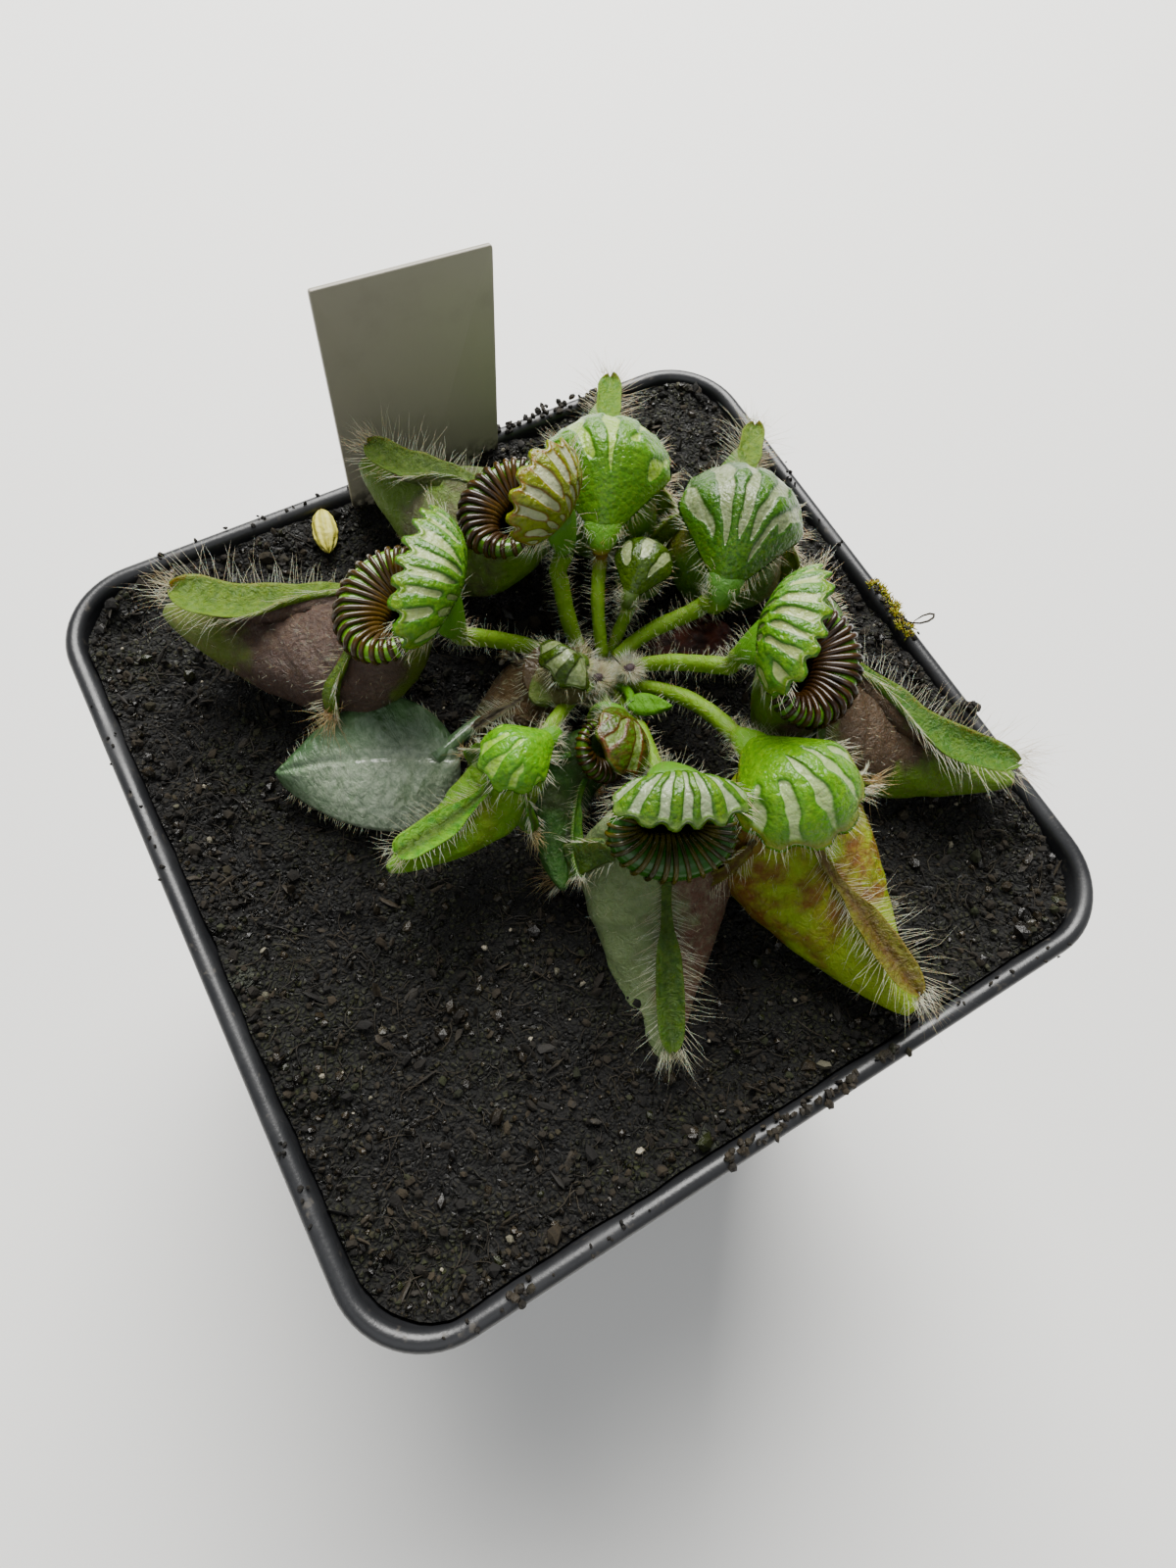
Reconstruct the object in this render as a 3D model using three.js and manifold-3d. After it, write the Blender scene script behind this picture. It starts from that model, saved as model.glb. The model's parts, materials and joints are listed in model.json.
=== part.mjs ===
// A potted Albany pitcher plant, Cephalotus follicularis, in a 9 cm square nursery pot.
// Millimetres, +Z up, origin at the middle of the pot's underside.

import * as THREE from "three";
import { mergeVertices } from "three/addons/utils/BufferGeometryUtils.js";
import Module from "manifold-3d";

// Pot
const RIM_SIDE = 90;
const POT_HEIGHT = 90;
const BASE_SIDE = 66;
const RIM_CORNER = 9.5;
const POT_WALL = 1.2;
const POT_FLOOR = 2.4;
const COLLAR_HEIGHT = 9;
const LIP_WIDTH = 2;
const DRAIN_RADIUS = 3;
const DRAIN_CHANNEL = 1.1;

// Soil
const SOIL_BELOW_RIM = 3.4;
const SOIL_HEAP = 2.4;

// Plant label
const LABEL_WIDTH = 20.2;
const LABEL_LENGTH = 52;
const LABEL_ABOVE_RIM = 25.5;
const LABEL_LEAN = 8.5;
const LABEL_THICKNESS = 0.6;

// Crown of the plant, at the soil
const CROWN = new THREE.Vector3(7, 6, POT_HEIGHT);
const CROWN_RADIUS = 4;
const CROWN_HEIGHT = 3.6;

// Walls of a pitcher
const PITCHER_WALL = 1;
const LID_THICKNESS = 0.8;

// Clearance between pieces that touch
const GAP = 0.3;

const wasm = await Module();
wasm.setup();

const point = (x, y, z) => new THREE.Vector3(x, y, z);
const radians = THREE.MathUtils.degToRad;

// A closed mesh through rings of points, with a fan to a middle point over each end,
// or with its last ring joined to its first. Its faces are turned outwards.
function loft(rings, { closed = false, start = null, end = null } = {}) {
  const count = rings[0].length;
  const points = rings.flat();
  const faces = [];
  const bands = closed ? rings.length : rings.length - 1;
  for (let i = 0; i < bands; i++) {
    const low = i * count;
    const high = ((i + 1) % rings.length) * count;
    for (let j = 0; j < count; j++) {
      const k = (j + 1) % count;
      faces.push([low + j, low + k, high + k], [low + j, high + k, high + j]);
    }
  }
  const fan = (first, middle, turned) => {
    points.push(middle);
    for (let j = 0; j < count; j++) {
      const a = first + j;
      const b = first + ((j + 1) % count);
      faces.push(turned ? [points.length - 1, b, a] : [points.length - 1, a, b]);
    }
  };
  const middleOf = (ring) =>
    ring.reduce((sum, p) => sum.add(p), point(0, 0, 0)).divideScalar(count);
  if (!closed) {
    fan(0, start ?? middleOf(rings[0]), true);
    fan((rings.length - 1) * count, end ?? middleOf(rings.at(-1)), false);
  }
  let volume = 0;
  for (const [a, b, c] of faces)
    volume += points[a].dot(point(0, 0, 0).crossVectors(points[b], points[c]));
  if (volume < 0) faces.forEach((face) => face.reverse());
  const geometry = new THREE.BufferGeometry().setFromPoints(points);
  return geometry.setIndex(faces.flat());
}

// A geometry as a solid that can be joined and cut.
function solid(geometry, matrix = new THREE.Matrix4()) {
  const bare = geometry.clone().applyMatrix4(matrix);
  for (const name of ["normal", "uv"]) bare.deleteAttribute(name);
  const merged = mergeVertices(bare, 1e-4);
  return new wasm.Manifold(
    new wasm.Mesh({
      numProp: 3,
      vertProperties: merged.attributes.position.array,
      triVerts: new Uint32Array(merged.index.array),
    }),
  );
}

function geometryOf(body) {
  const mesh = body.getMesh();
  const geometry = new THREE.BufferGeometry();
  geometry.setAttribute("position", new THREE.BufferAttribute(mesh.vertProperties, 3));
  geometry.setIndex(new THREE.BufferAttribute(mesh.triVerts, 1));
  geometry.computeVertexNormals();
  return geometry;
}

const join = (bodies) => bodies.reduce((sum, body) => sum.add(body));
const cut = (body, cutters) => cutters.reduce((rest, cutter) => rest.subtract(cutter), body);

// The largest piece of a cut solid, with slivers thinner than a hair merged away and
// sealed voids filled.
function largest(body) {
  const pieces = new wasm.Manifold(body.simplify(0.05).getMesh()).decompose();
  return pieces.sort((a, b) => b.volume() - a.volume())[0];
}

function part(name, geometry, colour, roughness, metalness = 0) {
  const material = new THREE.MeshStandardMaterial({ color: colour, roughness, metalness });
  const mesh = new THREE.Mesh(geometry, material);
  mesh.name = name;
  return mesh;
}

// Pot

const CORNER_STEPS = 4;

// A square with rounded corners, as a ring of points at height z.
function squareRing(side, corner, z) {
  const ring = [];
  for (let quarter = 0; quarter < 4; quarter++) {
    const turn = (quarter * Math.PI) / 2;
    const middle = side / 2 - corner;
    for (let i = 0; i <= CORNER_STEPS; i++) {
      const angle = turn + ((i / CORNER_STEPS) * Math.PI) / 2;
      const signX = Math.sign(Math.cos(turn + Math.PI / 4));
      const signY = Math.sign(Math.sin(turn + Math.PI / 4));
      const x = signX * middle + corner * Math.cos(angle);
      const y = signY * middle + corner * Math.sin(angle);
      ring.push(point(x, y, z));
    }
  }
  return ring;
}

const COLLAR_FOOT = POT_HEIGHT - COLLAR_HEIGHT;
const SHOULDER_SIDE = RIM_SIDE - 5;
const INNER_RIM_SIDE = RIM_SIDE - 2 * LIP_WIDTH;
const INNER_SHOULDER_SIDE = SHOULDER_SIDE - 2 * POT_WALL;
const INNER_BASE_SIDE = BASE_SIDE - 2 * POT_WALL;

function pot() {
  const lip = LIP_WIDTH / 2;
  const inner = RIM_CORNER - LIP_WIDTH;
  const rings = [
    squareRing(BASE_SIDE, inner, 0),
    squareRing(SHOULDER_SIDE, RIM_CORNER - 2, COLLAR_FOOT),
    squareRing(RIM_SIDE - 1, RIM_CORNER, COLLAR_FOOT + 0.4),
    squareRing(RIM_SIDE, RIM_CORNER, POT_HEIGHT - lip),
    squareRing(RIM_SIDE - 0.6, RIM_CORNER - 0.3, POT_HEIGHT - lip * 0.3),
    squareRing(RIM_SIDE - LIP_WIDTH, RIM_CORNER - lip, POT_HEIGHT),
    squareRing(INNER_RIM_SIDE + 0.6, inner + 0.3, POT_HEIGHT - lip * 0.3),
    squareRing(INNER_RIM_SIDE, inner, POT_HEIGHT - lip),
    squareRing(INNER_RIM_SIDE, inner, COLLAR_FOOT + 2),
    squareRing(INNER_SHOULDER_SIDE, inner - 1, COLLAR_FOOT),
    squareRing(INNER_BASE_SIDE, inner - 1, POT_FLOOR),
  ];
  const shell = solid(loft(rings));

  // A square channel under the floor, with an outlet to each side, leads water away.
  const channelOuter = BASE_SIDE - 14;
  const channelInner = channelOuter - 4 * DRAIN_RADIUS;
  const channel = new THREE.Shape(squareRing(channelOuter, inner, 0));
  channel.holes.push(new THREE.Path(squareRing(channelInner, inner, 0)));
  const depth = 2 * DRAIN_CHANNEL;
  const ditch = new THREE.ExtrudeGeometry(channel, { depth, bevelEnabled: false });
  ditch.translate(0, 0, -DRAIN_CHANNEL);
  const cutters = [solid(ditch)];
  const middle = (channelOuter + channelInner) / 4;
  for (let i = 0; i < 4; i++) {
    const turn = new THREE.Matrix4().makeRotationZ((i * Math.PI) / 2);
    const outlet = new THREE.BoxGeometry(16, 8, depth).translate(middle + 9, 0, 0);
    cutters.push(solid(outlet, turn));
    for (const [x, y] of [[middle, 0], [middle - 1, middle - 1]]) {
      const hole = new THREE.CylinderGeometry(DRAIN_RADIUS, DRAIN_RADIUS, 12, 8);
      hole.rotateX(Math.PI / 2).translate(x, y, 0);
      cutters.push(solid(hole, turn));
    }
  }
  return cut(shell, cutters);
}

// Soil

// Height of the soil: lowest at the front corner, heaped against the two back sides,
// with low waves for the clods.
function soilHeight(x, y) {
  const back = THREE.MathUtils.smoothstep(x + y, -40, 70);
  const waves =
    0.35 * Math.sin(0.23 * x + 1) * Math.cos(0.19 * y) +
    0.22 * Math.sin(0.61 * x - 0.43 * y) +
    0.16 * Math.cos(0.92 * y + 0.35 * x);
  return POT_HEIGHT - SOIL_BELOW_RIM + SOIL_HEAP * back + waves;
}

function soilBlock() {
  const inner = RIM_CORNER - LIP_WIDTH;
  const side = INNER_RIM_SIDE - 2 * GAP;
  const shoulder = INNER_SHOULDER_SIDE - 2 * GAP;
  const rings = [
    squareRing(INNER_BASE_SIDE - 2 * GAP, inner - 1, POT_FLOOR + GAP),
    squareRing(shoulder, inner - 1, COLLAR_FOOT + GAP),
    squareRing(side, inner, COLLAR_FOOT + 2 + GAP),
  ];
  const LOOPS = 9;
  for (let i = 0; i < LOOPS; i++) {
    const share = 1 - i / LOOPS;
    const ring = squareRing(side * share, inner * share ** 0.5, 0);
    for (const p of ring) p.z = soilHeight(p.x, p.y);
    rings.push(ring);
  }
  return solid(loft(rings, { end: point(0, 0, soilHeight(0, 0)) }));
}

// Crown: a squat hairy cushion that every leaf grows from, with two buds on it

function crown(grow = 0) {
  const radius = CROWN_RADIUS + grow;
  const root = 7;
  const profile = [
    new THREE.Vector2(0, -root - grow),
    new THREE.Vector2(radius * 0.6, -root - grow),
    new THREE.Vector2(radius, -1.5),
    new THREE.Vector2(radius, 0.6),
    new THREE.Vector2(radius * 0.8, CROWN_HEIGHT * 0.7 + grow),
    new THREE.Vector2(0, CROWN_HEIGHT + grow),
  ];
  const cushion = new THREE.LatheGeometry(profile, 10).rotateX(Math.PI / 2);
  cushion.translate(CROWN.x, CROWN.y, CROWN.z);
  const bodies = [solid(cushion)];
  for (const [x, y] of [[-1.6, -0.9], [1.5, 1.3]]) {
    const bud = new THREE.SphereGeometry(1.5 + grow, 7, 4).rotateX(Math.PI / 2);
    bud.scale(1, 1, 1.3).translate(CROWN.x + x, CROWN.y + y, CROWN.z + CROWN_HEIGHT);
    bodies.push(solid(bud));
  }
  return join(bodies);
}

// Pitchers
//
// A pitcher's own frame has its origin at the middle of the mouth, +X outwards from the
// crown, +Y across and +Z up. Angles are in degrees. `mouth` is measured from the pot's
// axis at rim height. `stem` gives where the petiole leaves the crown, as an angle and a
// height, and the two points that it bends towards. `clears` names the neighbours that it
// is trimmed by where they touch.

const DARK_GREEN = 0x3d5a35;
const PURPLE = 0x5b4048;
const BRIGHT = 0x6aa51c;
const OLIVE = 0x6c7a3c;
const OPEN = {
  halfWidth: 5.6,
  halfDepth: 4.4,
  bulge: 3,
  belly: 3.6,
  length: 25,
  open: 78,
  margin: 1.9,
};
const SHUT = { ...OPEN, bulge: 2, open: 12, shut: true, length: 22, colour: BRIGHT };
const SMALL = { ...SHUT, bulge: 1.4, belly: 1, halfWidth: 3.6, halfDepth: 3.2, length: 14 };
const YOUNG = { ...SHUT, bulge: 0.5, belly: 0.5, halfWidth: 2.4, halfDepth: 1.9, length: 7 };

const PITCHERS = [
  {
    ...OPEN,
    name: "pitcher_left",
    mouth: [-12.4, 16.7, 13],
    azimuth: 140,
    pitch: -4,
    roll: 4,
    twist: -42,
    length: 27.5,
    halfDepth: 3.6,
    margin: 2.3,
    colour: PURPLE,
    stem: { from: [128, 0], rise: [-0.5, 14, 6], join: [4, -1.5, -4] },
  },
  {
    ...OPEN,
    name: "pitcher_back_left",
    mouth: [3.8, 21.9, 13],
    azimuth: 121,
    pitch: -6,
    roll: -6,
    length: 22,
    halfWidth: 5,
    halfDepth: 3.9,
    margin: 0.7,
    colour: DARK_GREEN,
    stem: { from: [108, 0.5], rise: [4.5, 14, 5], join: [1.5, -4, -4] },
    clears: ["pitcher_left"],
  },
  {
    ...OPEN,
    name: "pitcher_right",
    mouth: [21, -7.2, 13],
    azimuth: -46,
    pitch: 1,
    roll: 6,
    twist: 38,
    length: 30.5,
    halfWidth: 5.4,
    halfDepth: 3.7,
    margin: 1.6,
    colour: PURPLE,
    stem: { from: [-24, 2.8], rise: [14, 3, 6], join: [-4, 3, -3] },
  },
  {
    ...OPEN,
    name: "pitcher_front",
    mouth: [1.6, -14.1, 10],
    azimuth: -116,
    pitch: 14,
    length: 25.5,
    halfWidth: 5.1,
    halfDepth: 4.5,
    bulge: 3.4,
    belly: 3,
    open: 55,
    margin: 1.3,
    colour: DARK_GREEN,
    stem: { from: [-80, 0.8], rise: [8.6, -3, 5], join: [1.5, 4, -3] },
  },
  {
    ...SHUT,
    name: "pitcher_back",
    mouth: [16, 22, 12],
    azimuth: 57,
    pitch: 4,
    length: 24.5,
    halfWidth: 5.2,
    halfDepth: 5,
    margin: 1.5,
    stem: { from: [75, 2.6], rise: [9, 14, 9], join: [-2, -4, -4] },
    clears: ["pitcher_back_left"],
  },
  {
    ...SHUT,
    name: "pitcher_back_right",
    mouth: [24.7, 10.3, 12],
    azimuth: 47,
    pitch: 4,
    length: 24,
    halfWidth: 5.1,
    halfDepth: 5.2,
    margin: 1.5,
    colour: OLIVE,
    stem: { from: [28, 2.6], rise: [16, 8.6, 6.5], join: [-4, -3, -5] },
    clears: ["pitcher_back"],
  },
  {
    ...SHUT,
    name: "pitcher_front_right",
    mouth: [13.2, -17, 11],
    azimuth: -87,
    roll: 6,
    length: 26.5,
    halfWidth: 5.2,
    halfDepth: 4.6,
    bulge: 3.6,
    open: 20,
    margin: 1.5,
    stem: { from: [-56, 1], rise: [14.5, -2, 6], join: [-0.5, 5, -2] },
    clears: ["pitcher_front", "pitcher_right"],
  },
  {
    ...SMALL,
    name: "pitcher_centre_old",
    mouth: [-1.8, 6.4, 5.5],
    azimuth: 168,
    roll: -10,
    halfWidth: 3.1,
    open: 14,
    margin: 0.9,
    colour: 0x4c3d33,
    stem: { from: [172, 0], rise: [3.5, 6.3, 4], join: [1, 0, -1], size: 0.8 },
  },
  {
    ...SMALL,
    name: "pitcher_centre_front",
    mouth: [0, -3.1, 6.4],
    azimuth: -118,
    roll: -62,
    length: 15,
    halfWidth: 3,
    halfDepth: 2.3,
    open: 62,
    margin: 1,
    colour: DARK_GREEN,
    stem: { from: [-138, 0.5], rise: [4.5, 0, 5], join: [1.5, 1, -1], size: 0.8 },
    clears: ["pitcher_centre_old", "pitcher_front"],
  },
  {
    ...SMALL,
    name: "pitcher_front_left",
    mouth: [-8, -2.6, 11.5],
    azimuth: 190,
    pitch: -4,
    length: 18,
    halfWidth: 2.9,
    halfDepth: 2.8,
    bulge: 2.2,
    open: 8,
    margin: 1,
    stem: { from: [-165, 2.2], rise: [0, 3, 9], join: [3, 1.5, 0], size: 0.8 },
    clears: ["pitcher_centre_old", "pitcher_centre_front"],
  },
  {
    ...YOUNG,
    name: "pitcher_young_back",
    mouth: [14.2, 12.3, 9],
    azimuth: 40,
    halfWidth: 2.3,
    halfDepth: 2.5,
    margin: 0.9,
    colour: OLIVE,
    stem: { from: [50, 0.2], rise: [11, 10.5, 4], join: [-1, -1.5, -3], size: 0.8 },
    clears: ["pitcher_back", "pitcher_back_right"],
  },
  {
    ...YOUNG,
    name: "pitcher_young_centre",
    mouth: [0.5, 4.5, 11],
    azimuth: 120,
    halfWidth: 1.6,
    halfDepth: 2.1,
    open: 20,
    margin: 0.8,
    colour: OLIVE,
    stem: { from: [140, 3], rise: [5, 7, 5.5], join: [1, -1, -2], size: 0.7 },
    clears: ["pitcher_centre_old", "pitcher_front_left", "pitcher_centre_front"],
  },
];

const halfTurn = Math.PI;

// The line down the middle of a pitcher, from the mouth to the tip, in its x-z plane.
function spine({ length: L }) {
  const at = (x, z) => new THREE.Vector2(x * L, z * L);
  return new THREE.CubicBezierCurve(at(0, 0), at(0, -0.3), at(0.22, -0.56), at(0.94, -0.34));
}

const MOUTH_TILT = radians(18);
const TIP_TURN = radians(100);

// The section at v, from 0 at the mouth to 1 at the tip: its middle, the direction of its
// front and the way on. It turns evenly from the mouth's plane to face up at the tip.
function station(spec, v) {
  const turn = -MOUTH_TILT + (TIP_TURN + MOUTH_TILT) * v;
  return {
    middle: spine(spec).getPoint(v),
    front: new THREE.Vector2(Math.cos(turn), Math.sin(turn)),
    along: new THREE.Vector2(Math.sin(turn), -Math.cos(turn)),
  };
}

// Half width and half depth of the body at v: a swelling that closes at the tip.
function halves(spec, v, grow) {
  const taper = Math.sqrt(Math.max(0, 1 - v ** 3.2));
  const swell = Math.sin(Math.PI * v);
  return [
    (spec.halfWidth + spec.bulge * swell) * taper + grow,
    (spec.halfDepth + spec.belly * swell) * taper + grow,
  ];
}

// A point of the body's skin at v and angle, measured from the front.
function skin(spec, v, angle, grow = 0) {
  const { middle, front } = station(spec, v);
  const [width, depth] = halves(spec, v, grow);
  const reach = Math.cos(angle) * depth;
  return point(middle.x + front.x * reach, Math.sin(angle) * width, middle.y + front.y * reach);
}

function bodyRing(spec, v, grow) {
  const around = spec.length > 18 ? 12 : 10;
  return Array.from({ length: around }, (_, i) => skin(spec, v, (2 * halfTurn * i) / around, grow));
}

function outerBody(spec, grow = 0) {
  const rings = spec.length > 10 ? [0, 0.09, 0.2, 0.34, 0.5, 0.66, 0.8, 0.91, 0.98] : [0, 0.3, 0.6, 0.9];
  const { middle, along } = station(spec, 1);
  const tip = point(middle.x + along.x * grow, 0, middle.y + along.y * grow);
  return loft(rings.map((v) => bodyRing(spec, v, grow)), { end: tip });
}

function cavity(spec) {
  const rings = [0, 0.2, 0.42, 0.64, 0.8].map((v) => bodyRing(spec, v, -PITCHER_WALL));
  const lift = rings[0].map((p) => p.clone().add(point(0.6, 0, 2)));
  return loft([lift, ...rings]);
}

// A wing: a thin web that stands on the body and spreads into a strip at its head.
// Each station gives the web's foot and head, the way across, and the strip's half width.
function wing(stations, web, grow) {
  const rings = stations.map(({ foot, head, across, half }) => {
    const up = head.clone().sub(foot);
    const tall = up.length();
    up.divideScalar(tall);
    const at = (side, height) =>
      foot.clone().addScaledVector(across, side).addScaledVector(up, height);
    const root = grow ? half : web;
    return [
      at(-root, 0),
      at(-root, tall - 0.8),
      at(-half, tall),
      at(half, tall),
      at(root, tall - 0.8),
      at(root, 0),
    ];
  });
  const last = stations.at(-1).head;
  const past = last.clone().sub(stations.at(-2).head).setLength(2 * grow);
  if (grow) rings.push(rings.at(-1).map((p) => p.clone().add(past)));
  return loft(rings);
}

// How far the wings stand round the body from their usual place, in radians. A twisted
// pitcher has them to one side of its front under the lip and in line again at the tip.
function twistAt(spec, v) {
  return radians(spec.twist ?? 0) * (1 - THREE.MathUtils.smoothstep(v, 0.1, 0.75));
}

// The wing down the pitcher's front. It starts under the lip of the mouth, broadens
// outwards and ends in a round tongue past the tip.
function frontWing(spec, grow = 0) {
  const size = spec.length / 25;
  const stations = [];
  const STATIONS = 6;
  for (let i = 0; i <= STATIONS; i++) {
    const t = i / STATIONS;
    const v = 0.1 + 0.76 * t;
    const { front, along } = station(spec, v);
    const angle = twistAt(spec, v);
    const c = Math.cos(angle);
    const s = Math.sin(angle);
    const across = point(-front.x * s, c, -front.y * s);
    const foot = skin(spec, v, angle, -0.5);
    const height = (0.55 + 2.7 * t) * size + 0.5;
    const out = point(front.x * c, s, front.y * c);
    const head = foot.clone().addScaledVector(out, height + grow);
    head.add(point(along.x, 0, along.y).multiplyScalar(4.4 * size * t ** 3));
    const tongue = Math.sqrt(1 - Math.max(0, (t - 0.78) / 0.24) ** 2);
    const half = (0.9 + 1.3 * THREE.MathUtils.smoothstep(t, 0.2, 0.75)) * size * tongue;
    stations.push({ foot, head, across, half: Math.max(half, 0.5) + grow });
  }
  return wing(stations, 0.4, grow);
}

// The wing on one side, from beside the mouth down the flank.
function sideWing(spec, side, grow = 0) {
  const size = spec.length / 25;
  const stations = [];
  const STATIONS = 3;
  for (let i = 0; i <= STATIONS; i++) {
    const t = i / STATIONS;
    const v = 0.06 + 0.4 * t;
    const angle = side * radians(62 + 34 * t) + twistAt(spec, v);
    const foot = skin(spec, v, angle, -0.6);
    const out = foot.clone().sub(skin(spec, v, angle, -1.6)).normalize();
    const head = foot.clone().addScaledVector(out, (1.3 + 1.7 * t) * size + 0.6 + grow);
    const step = skin(spec, v + 0.02, angle + side * radians(1.7)).sub(skin(spec, v, angle));
    const across = step.normalize().cross(out).normalize();
    stations.push({ foot, head, across, half: (0.55 + 0.5 * t) * size + grow });
  }
  return wing(stations, 0.35, grow);
}

// A point over the mouth: x outwards in the mouth's plane, y across, z up from the plane.
function overMouth(x, y, z) {
  const c = Math.cos(MOUTH_TILT);
  const s = Math.sin(MOUTH_TILT);
  return point(x * c + z * s, y, -x * s + z * c);
}

// Whether the lid stands open far enough to show the lip
const hasLip = (spec) => !spec.shut || spec.open > 60;

// The lip of the mouth: a ring of glossy ribs, thickest at the front.
const RIBS = 16;
const LIP_RADIUS = 1.5;
const FULL_MOUTH = 5;
const LIP_SIDES = 5;

function lip(spec, grow = 0) {
  const count = 2 * RIBS;
  const size = LIP_RADIUS * Math.min(1, spec.halfWidth / FULL_MOUTH);
  const rings = [];
  for (let i = 0; i < count; i++) {
    const turn = (2 * halfTurn * i) / count;
    const fade = 0.72 + 0.28 * Math.cos(turn);
    const radius = size * fade * (i % 2 ? 0.84 : 1.06) + grow;
    const lift = size * 1.06 * fade + GAP;
    const out = point((spec.halfDepth + 0.2) * Math.cos(turn), spec.halfWidth * Math.sin(turn), 0);
    const way = point(Math.cos(turn), Math.sin(turn), 0);
    rings.push(
      Array.from({ length: LIP_SIDES }, (_, j) => {
        const angle = (2 * halfTurn * j) / LIP_SIDES;
        const reach = out.clone().addScaledVector(way, Math.cos(angle) * radius);
        return overMouth(reach.x, reach.y, lift + Math.sin(angle) * radius);
      }),
    );
  }
  return loft(rings, { closed: true });
}

// The lid: a domed scallop of ribs that spread from its hinge, with a toothed front edge.
const LID_SPOKES = 16;

function lid(spec, grow = 0) {
  const lipped = hasLip(spec);
  const long = spec.halfDepth + (lipped ? 0.3 : spec.margin);
  const wide = spec.halfWidth + spec.margin;
  const dome = (lipped ? 0.5 : 0.62) * wide;
  const hingeX = -spec.halfDepth - (lipped ? 2.1 : 0.6);
  const hingeZ = lipped ? 2.2 : 0.6;
  const angle = radians(spec.open);
  const place = (x, y, z) => {
    const along = x + long;
    return overMouth(
      hingeX + along * Math.cos(angle) - z * Math.sin(angle),
      y,
      hingeZ + along * Math.sin(angle) + z * Math.cos(angle),
    );
  };
  const pole = -0.5 * long;
  const edge = (turn) => {
    const c = Math.cos(turn);
    const s = Math.sin(turn);
    const a = (c / long) ** 2 + (s / wide) ** 2;
    const b = (pole * c) / long ** 2;
    return (-b + Math.sqrt(b * b - a * ((pole / long) ** 2 - 1))) / a;
  };
  const height = (x, y) => dome * Math.max(0, 1 - (x / long) ** 2 - (y / wide) ** 2) ** 0.8;
  const sheet = (share, drop, flat) =>
    Array.from({ length: LID_SPOKES }, (_, i) => {
      const turn = (2 * halfTurn * (i + 0.5)) / LID_SPOKES;
      const rib = i % 2 ? -1 : 1;
      const front = Math.cos(turn) > 0.1 ? 1 : 0;
      const reach = edge(turn) * share * (1 + 0.04 * rib * front * share) + grow * share;
      const x = pole + reach * Math.cos(turn);
      const y = reach * Math.sin(turn);
      const relief = 0.16 * rib * Math.sin(Math.PI * Math.min(share, 0.9));
      return place(x, y, flat ? -grow : height(x, y) + relief - drop);
    });
  const top = [0.3, 0.6, 0.84, 1].map((share) => sheet(share, -grow, false));
  const under = lipped
    ? [0.97, 0.82, 0.55].map((share) => sheet(share, LID_THICKNESS + grow, false))
    : [sheet(0.96, 0, true)];
  const start = place(pole, 0, height(pole, 0) + grow);
  const drop = lipped ? height(pole, 0) - LID_THICKNESS - grow : -grow;
  return loft([...top, ...under], { start, end: place(pole, 0, drop) });
}

// The petiole, from the crown to the back of the mouth, in the part's frame.
function stemLine(spec, toWorld) {
  const [turn, height] = spec.stem.from;
  const start = CROWN.clone().add(
    point(Math.cos(radians(turn)) * 2, Math.sin(radians(turn)) * 2, height),
  );
  const end = skin(spec, 0.07, halfTurn, -0.7).applyMatrix4(toWorld);
  const lift = point(0, 0, POT_HEIGHT);
  return new THREE.CubicBezierCurve3(
    start,
    point(...spec.stem.rise).add(lift),
    end.clone().add(point(...spec.stem.join)),
    end,
  );
}

// A round closed tube along a line, its radius a function of the share along it.
function tube(line, steps, sides, radiusAt) {
  const frames = line.computeFrenetFrames(steps, false);
  const rings = frames.normals.map((normal, i) => {
    const middle = line.getPointAt(i / steps);
    const radius = radiusAt(i / steps);
    return Array.from({ length: sides }, (_, j) => {
      const angle = (2 * halfTurn * j) / sides;
      return middle
        .clone()
        .addScaledVector(normal, Math.cos(angle) * radius)
        .addScaledVector(frames.binormals[i], Math.sin(angle) * radius);
    });
  });
  return loft(rings);
}

function stem(spec, toWorld, grow = 0) {
  const size = spec.stem.size ?? 1;
  const radiusAt = (t) => (1.05 + 0.25 * t + 0.7 * Math.max(0, t - 0.7)) * size + grow;
  return tube(stemLine(spec, toWorld), 6, 6, radiusAt);
}

// The short broad neck behind the mouth that the lid hinges on.
function neck(spec, grow = 0) {
  const top = hasLip(spec) ? 1.6 : 0.25;
  const rings = [-2.2, -0.6, top + grow].map((z, i) => {
    const half = [1.8, 2.6, 2.4][i] * (spec.halfWidth / 5.6) + grow;
    const back = -spec.halfDepth - [1.1, 2.3, 2.5][i] - grow;
    const front = -spec.halfDepth - [-0.4, 0.6, 1.1][i] + grow;
    return [
      overMouth(front, -half, z),
      overMouth(front, half, z),
      overMouth(back, half * 0.7, z),
      overMouth(back, -half * 0.7, z),
    ];
  });
  return loft(rings);
}

function frameOf(spec) {
  const [roll, pitch, azimuth] = [spec.roll ?? 0, spec.pitch ?? 0, spec.azimuth].map(radians);
  const angles = new THREE.Euler(roll, pitch, azimuth, "ZYX");
  const place = point(...spec.mouth).add(point(0, 0, POT_HEIGHT));
  const turn = new THREE.Quaternion().setFromEuler(angles);
  return new THREE.Matrix4().compose(place, turn, point(1, 1, 1));
}

// Flat leaves

// A leaf blade that is a thin arched lens: `base` and `tip` in the part's frame with z
// from the rim, its greatest half width, and how high it arches.
const BLADE_THICKNESS = 0.9;

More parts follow.
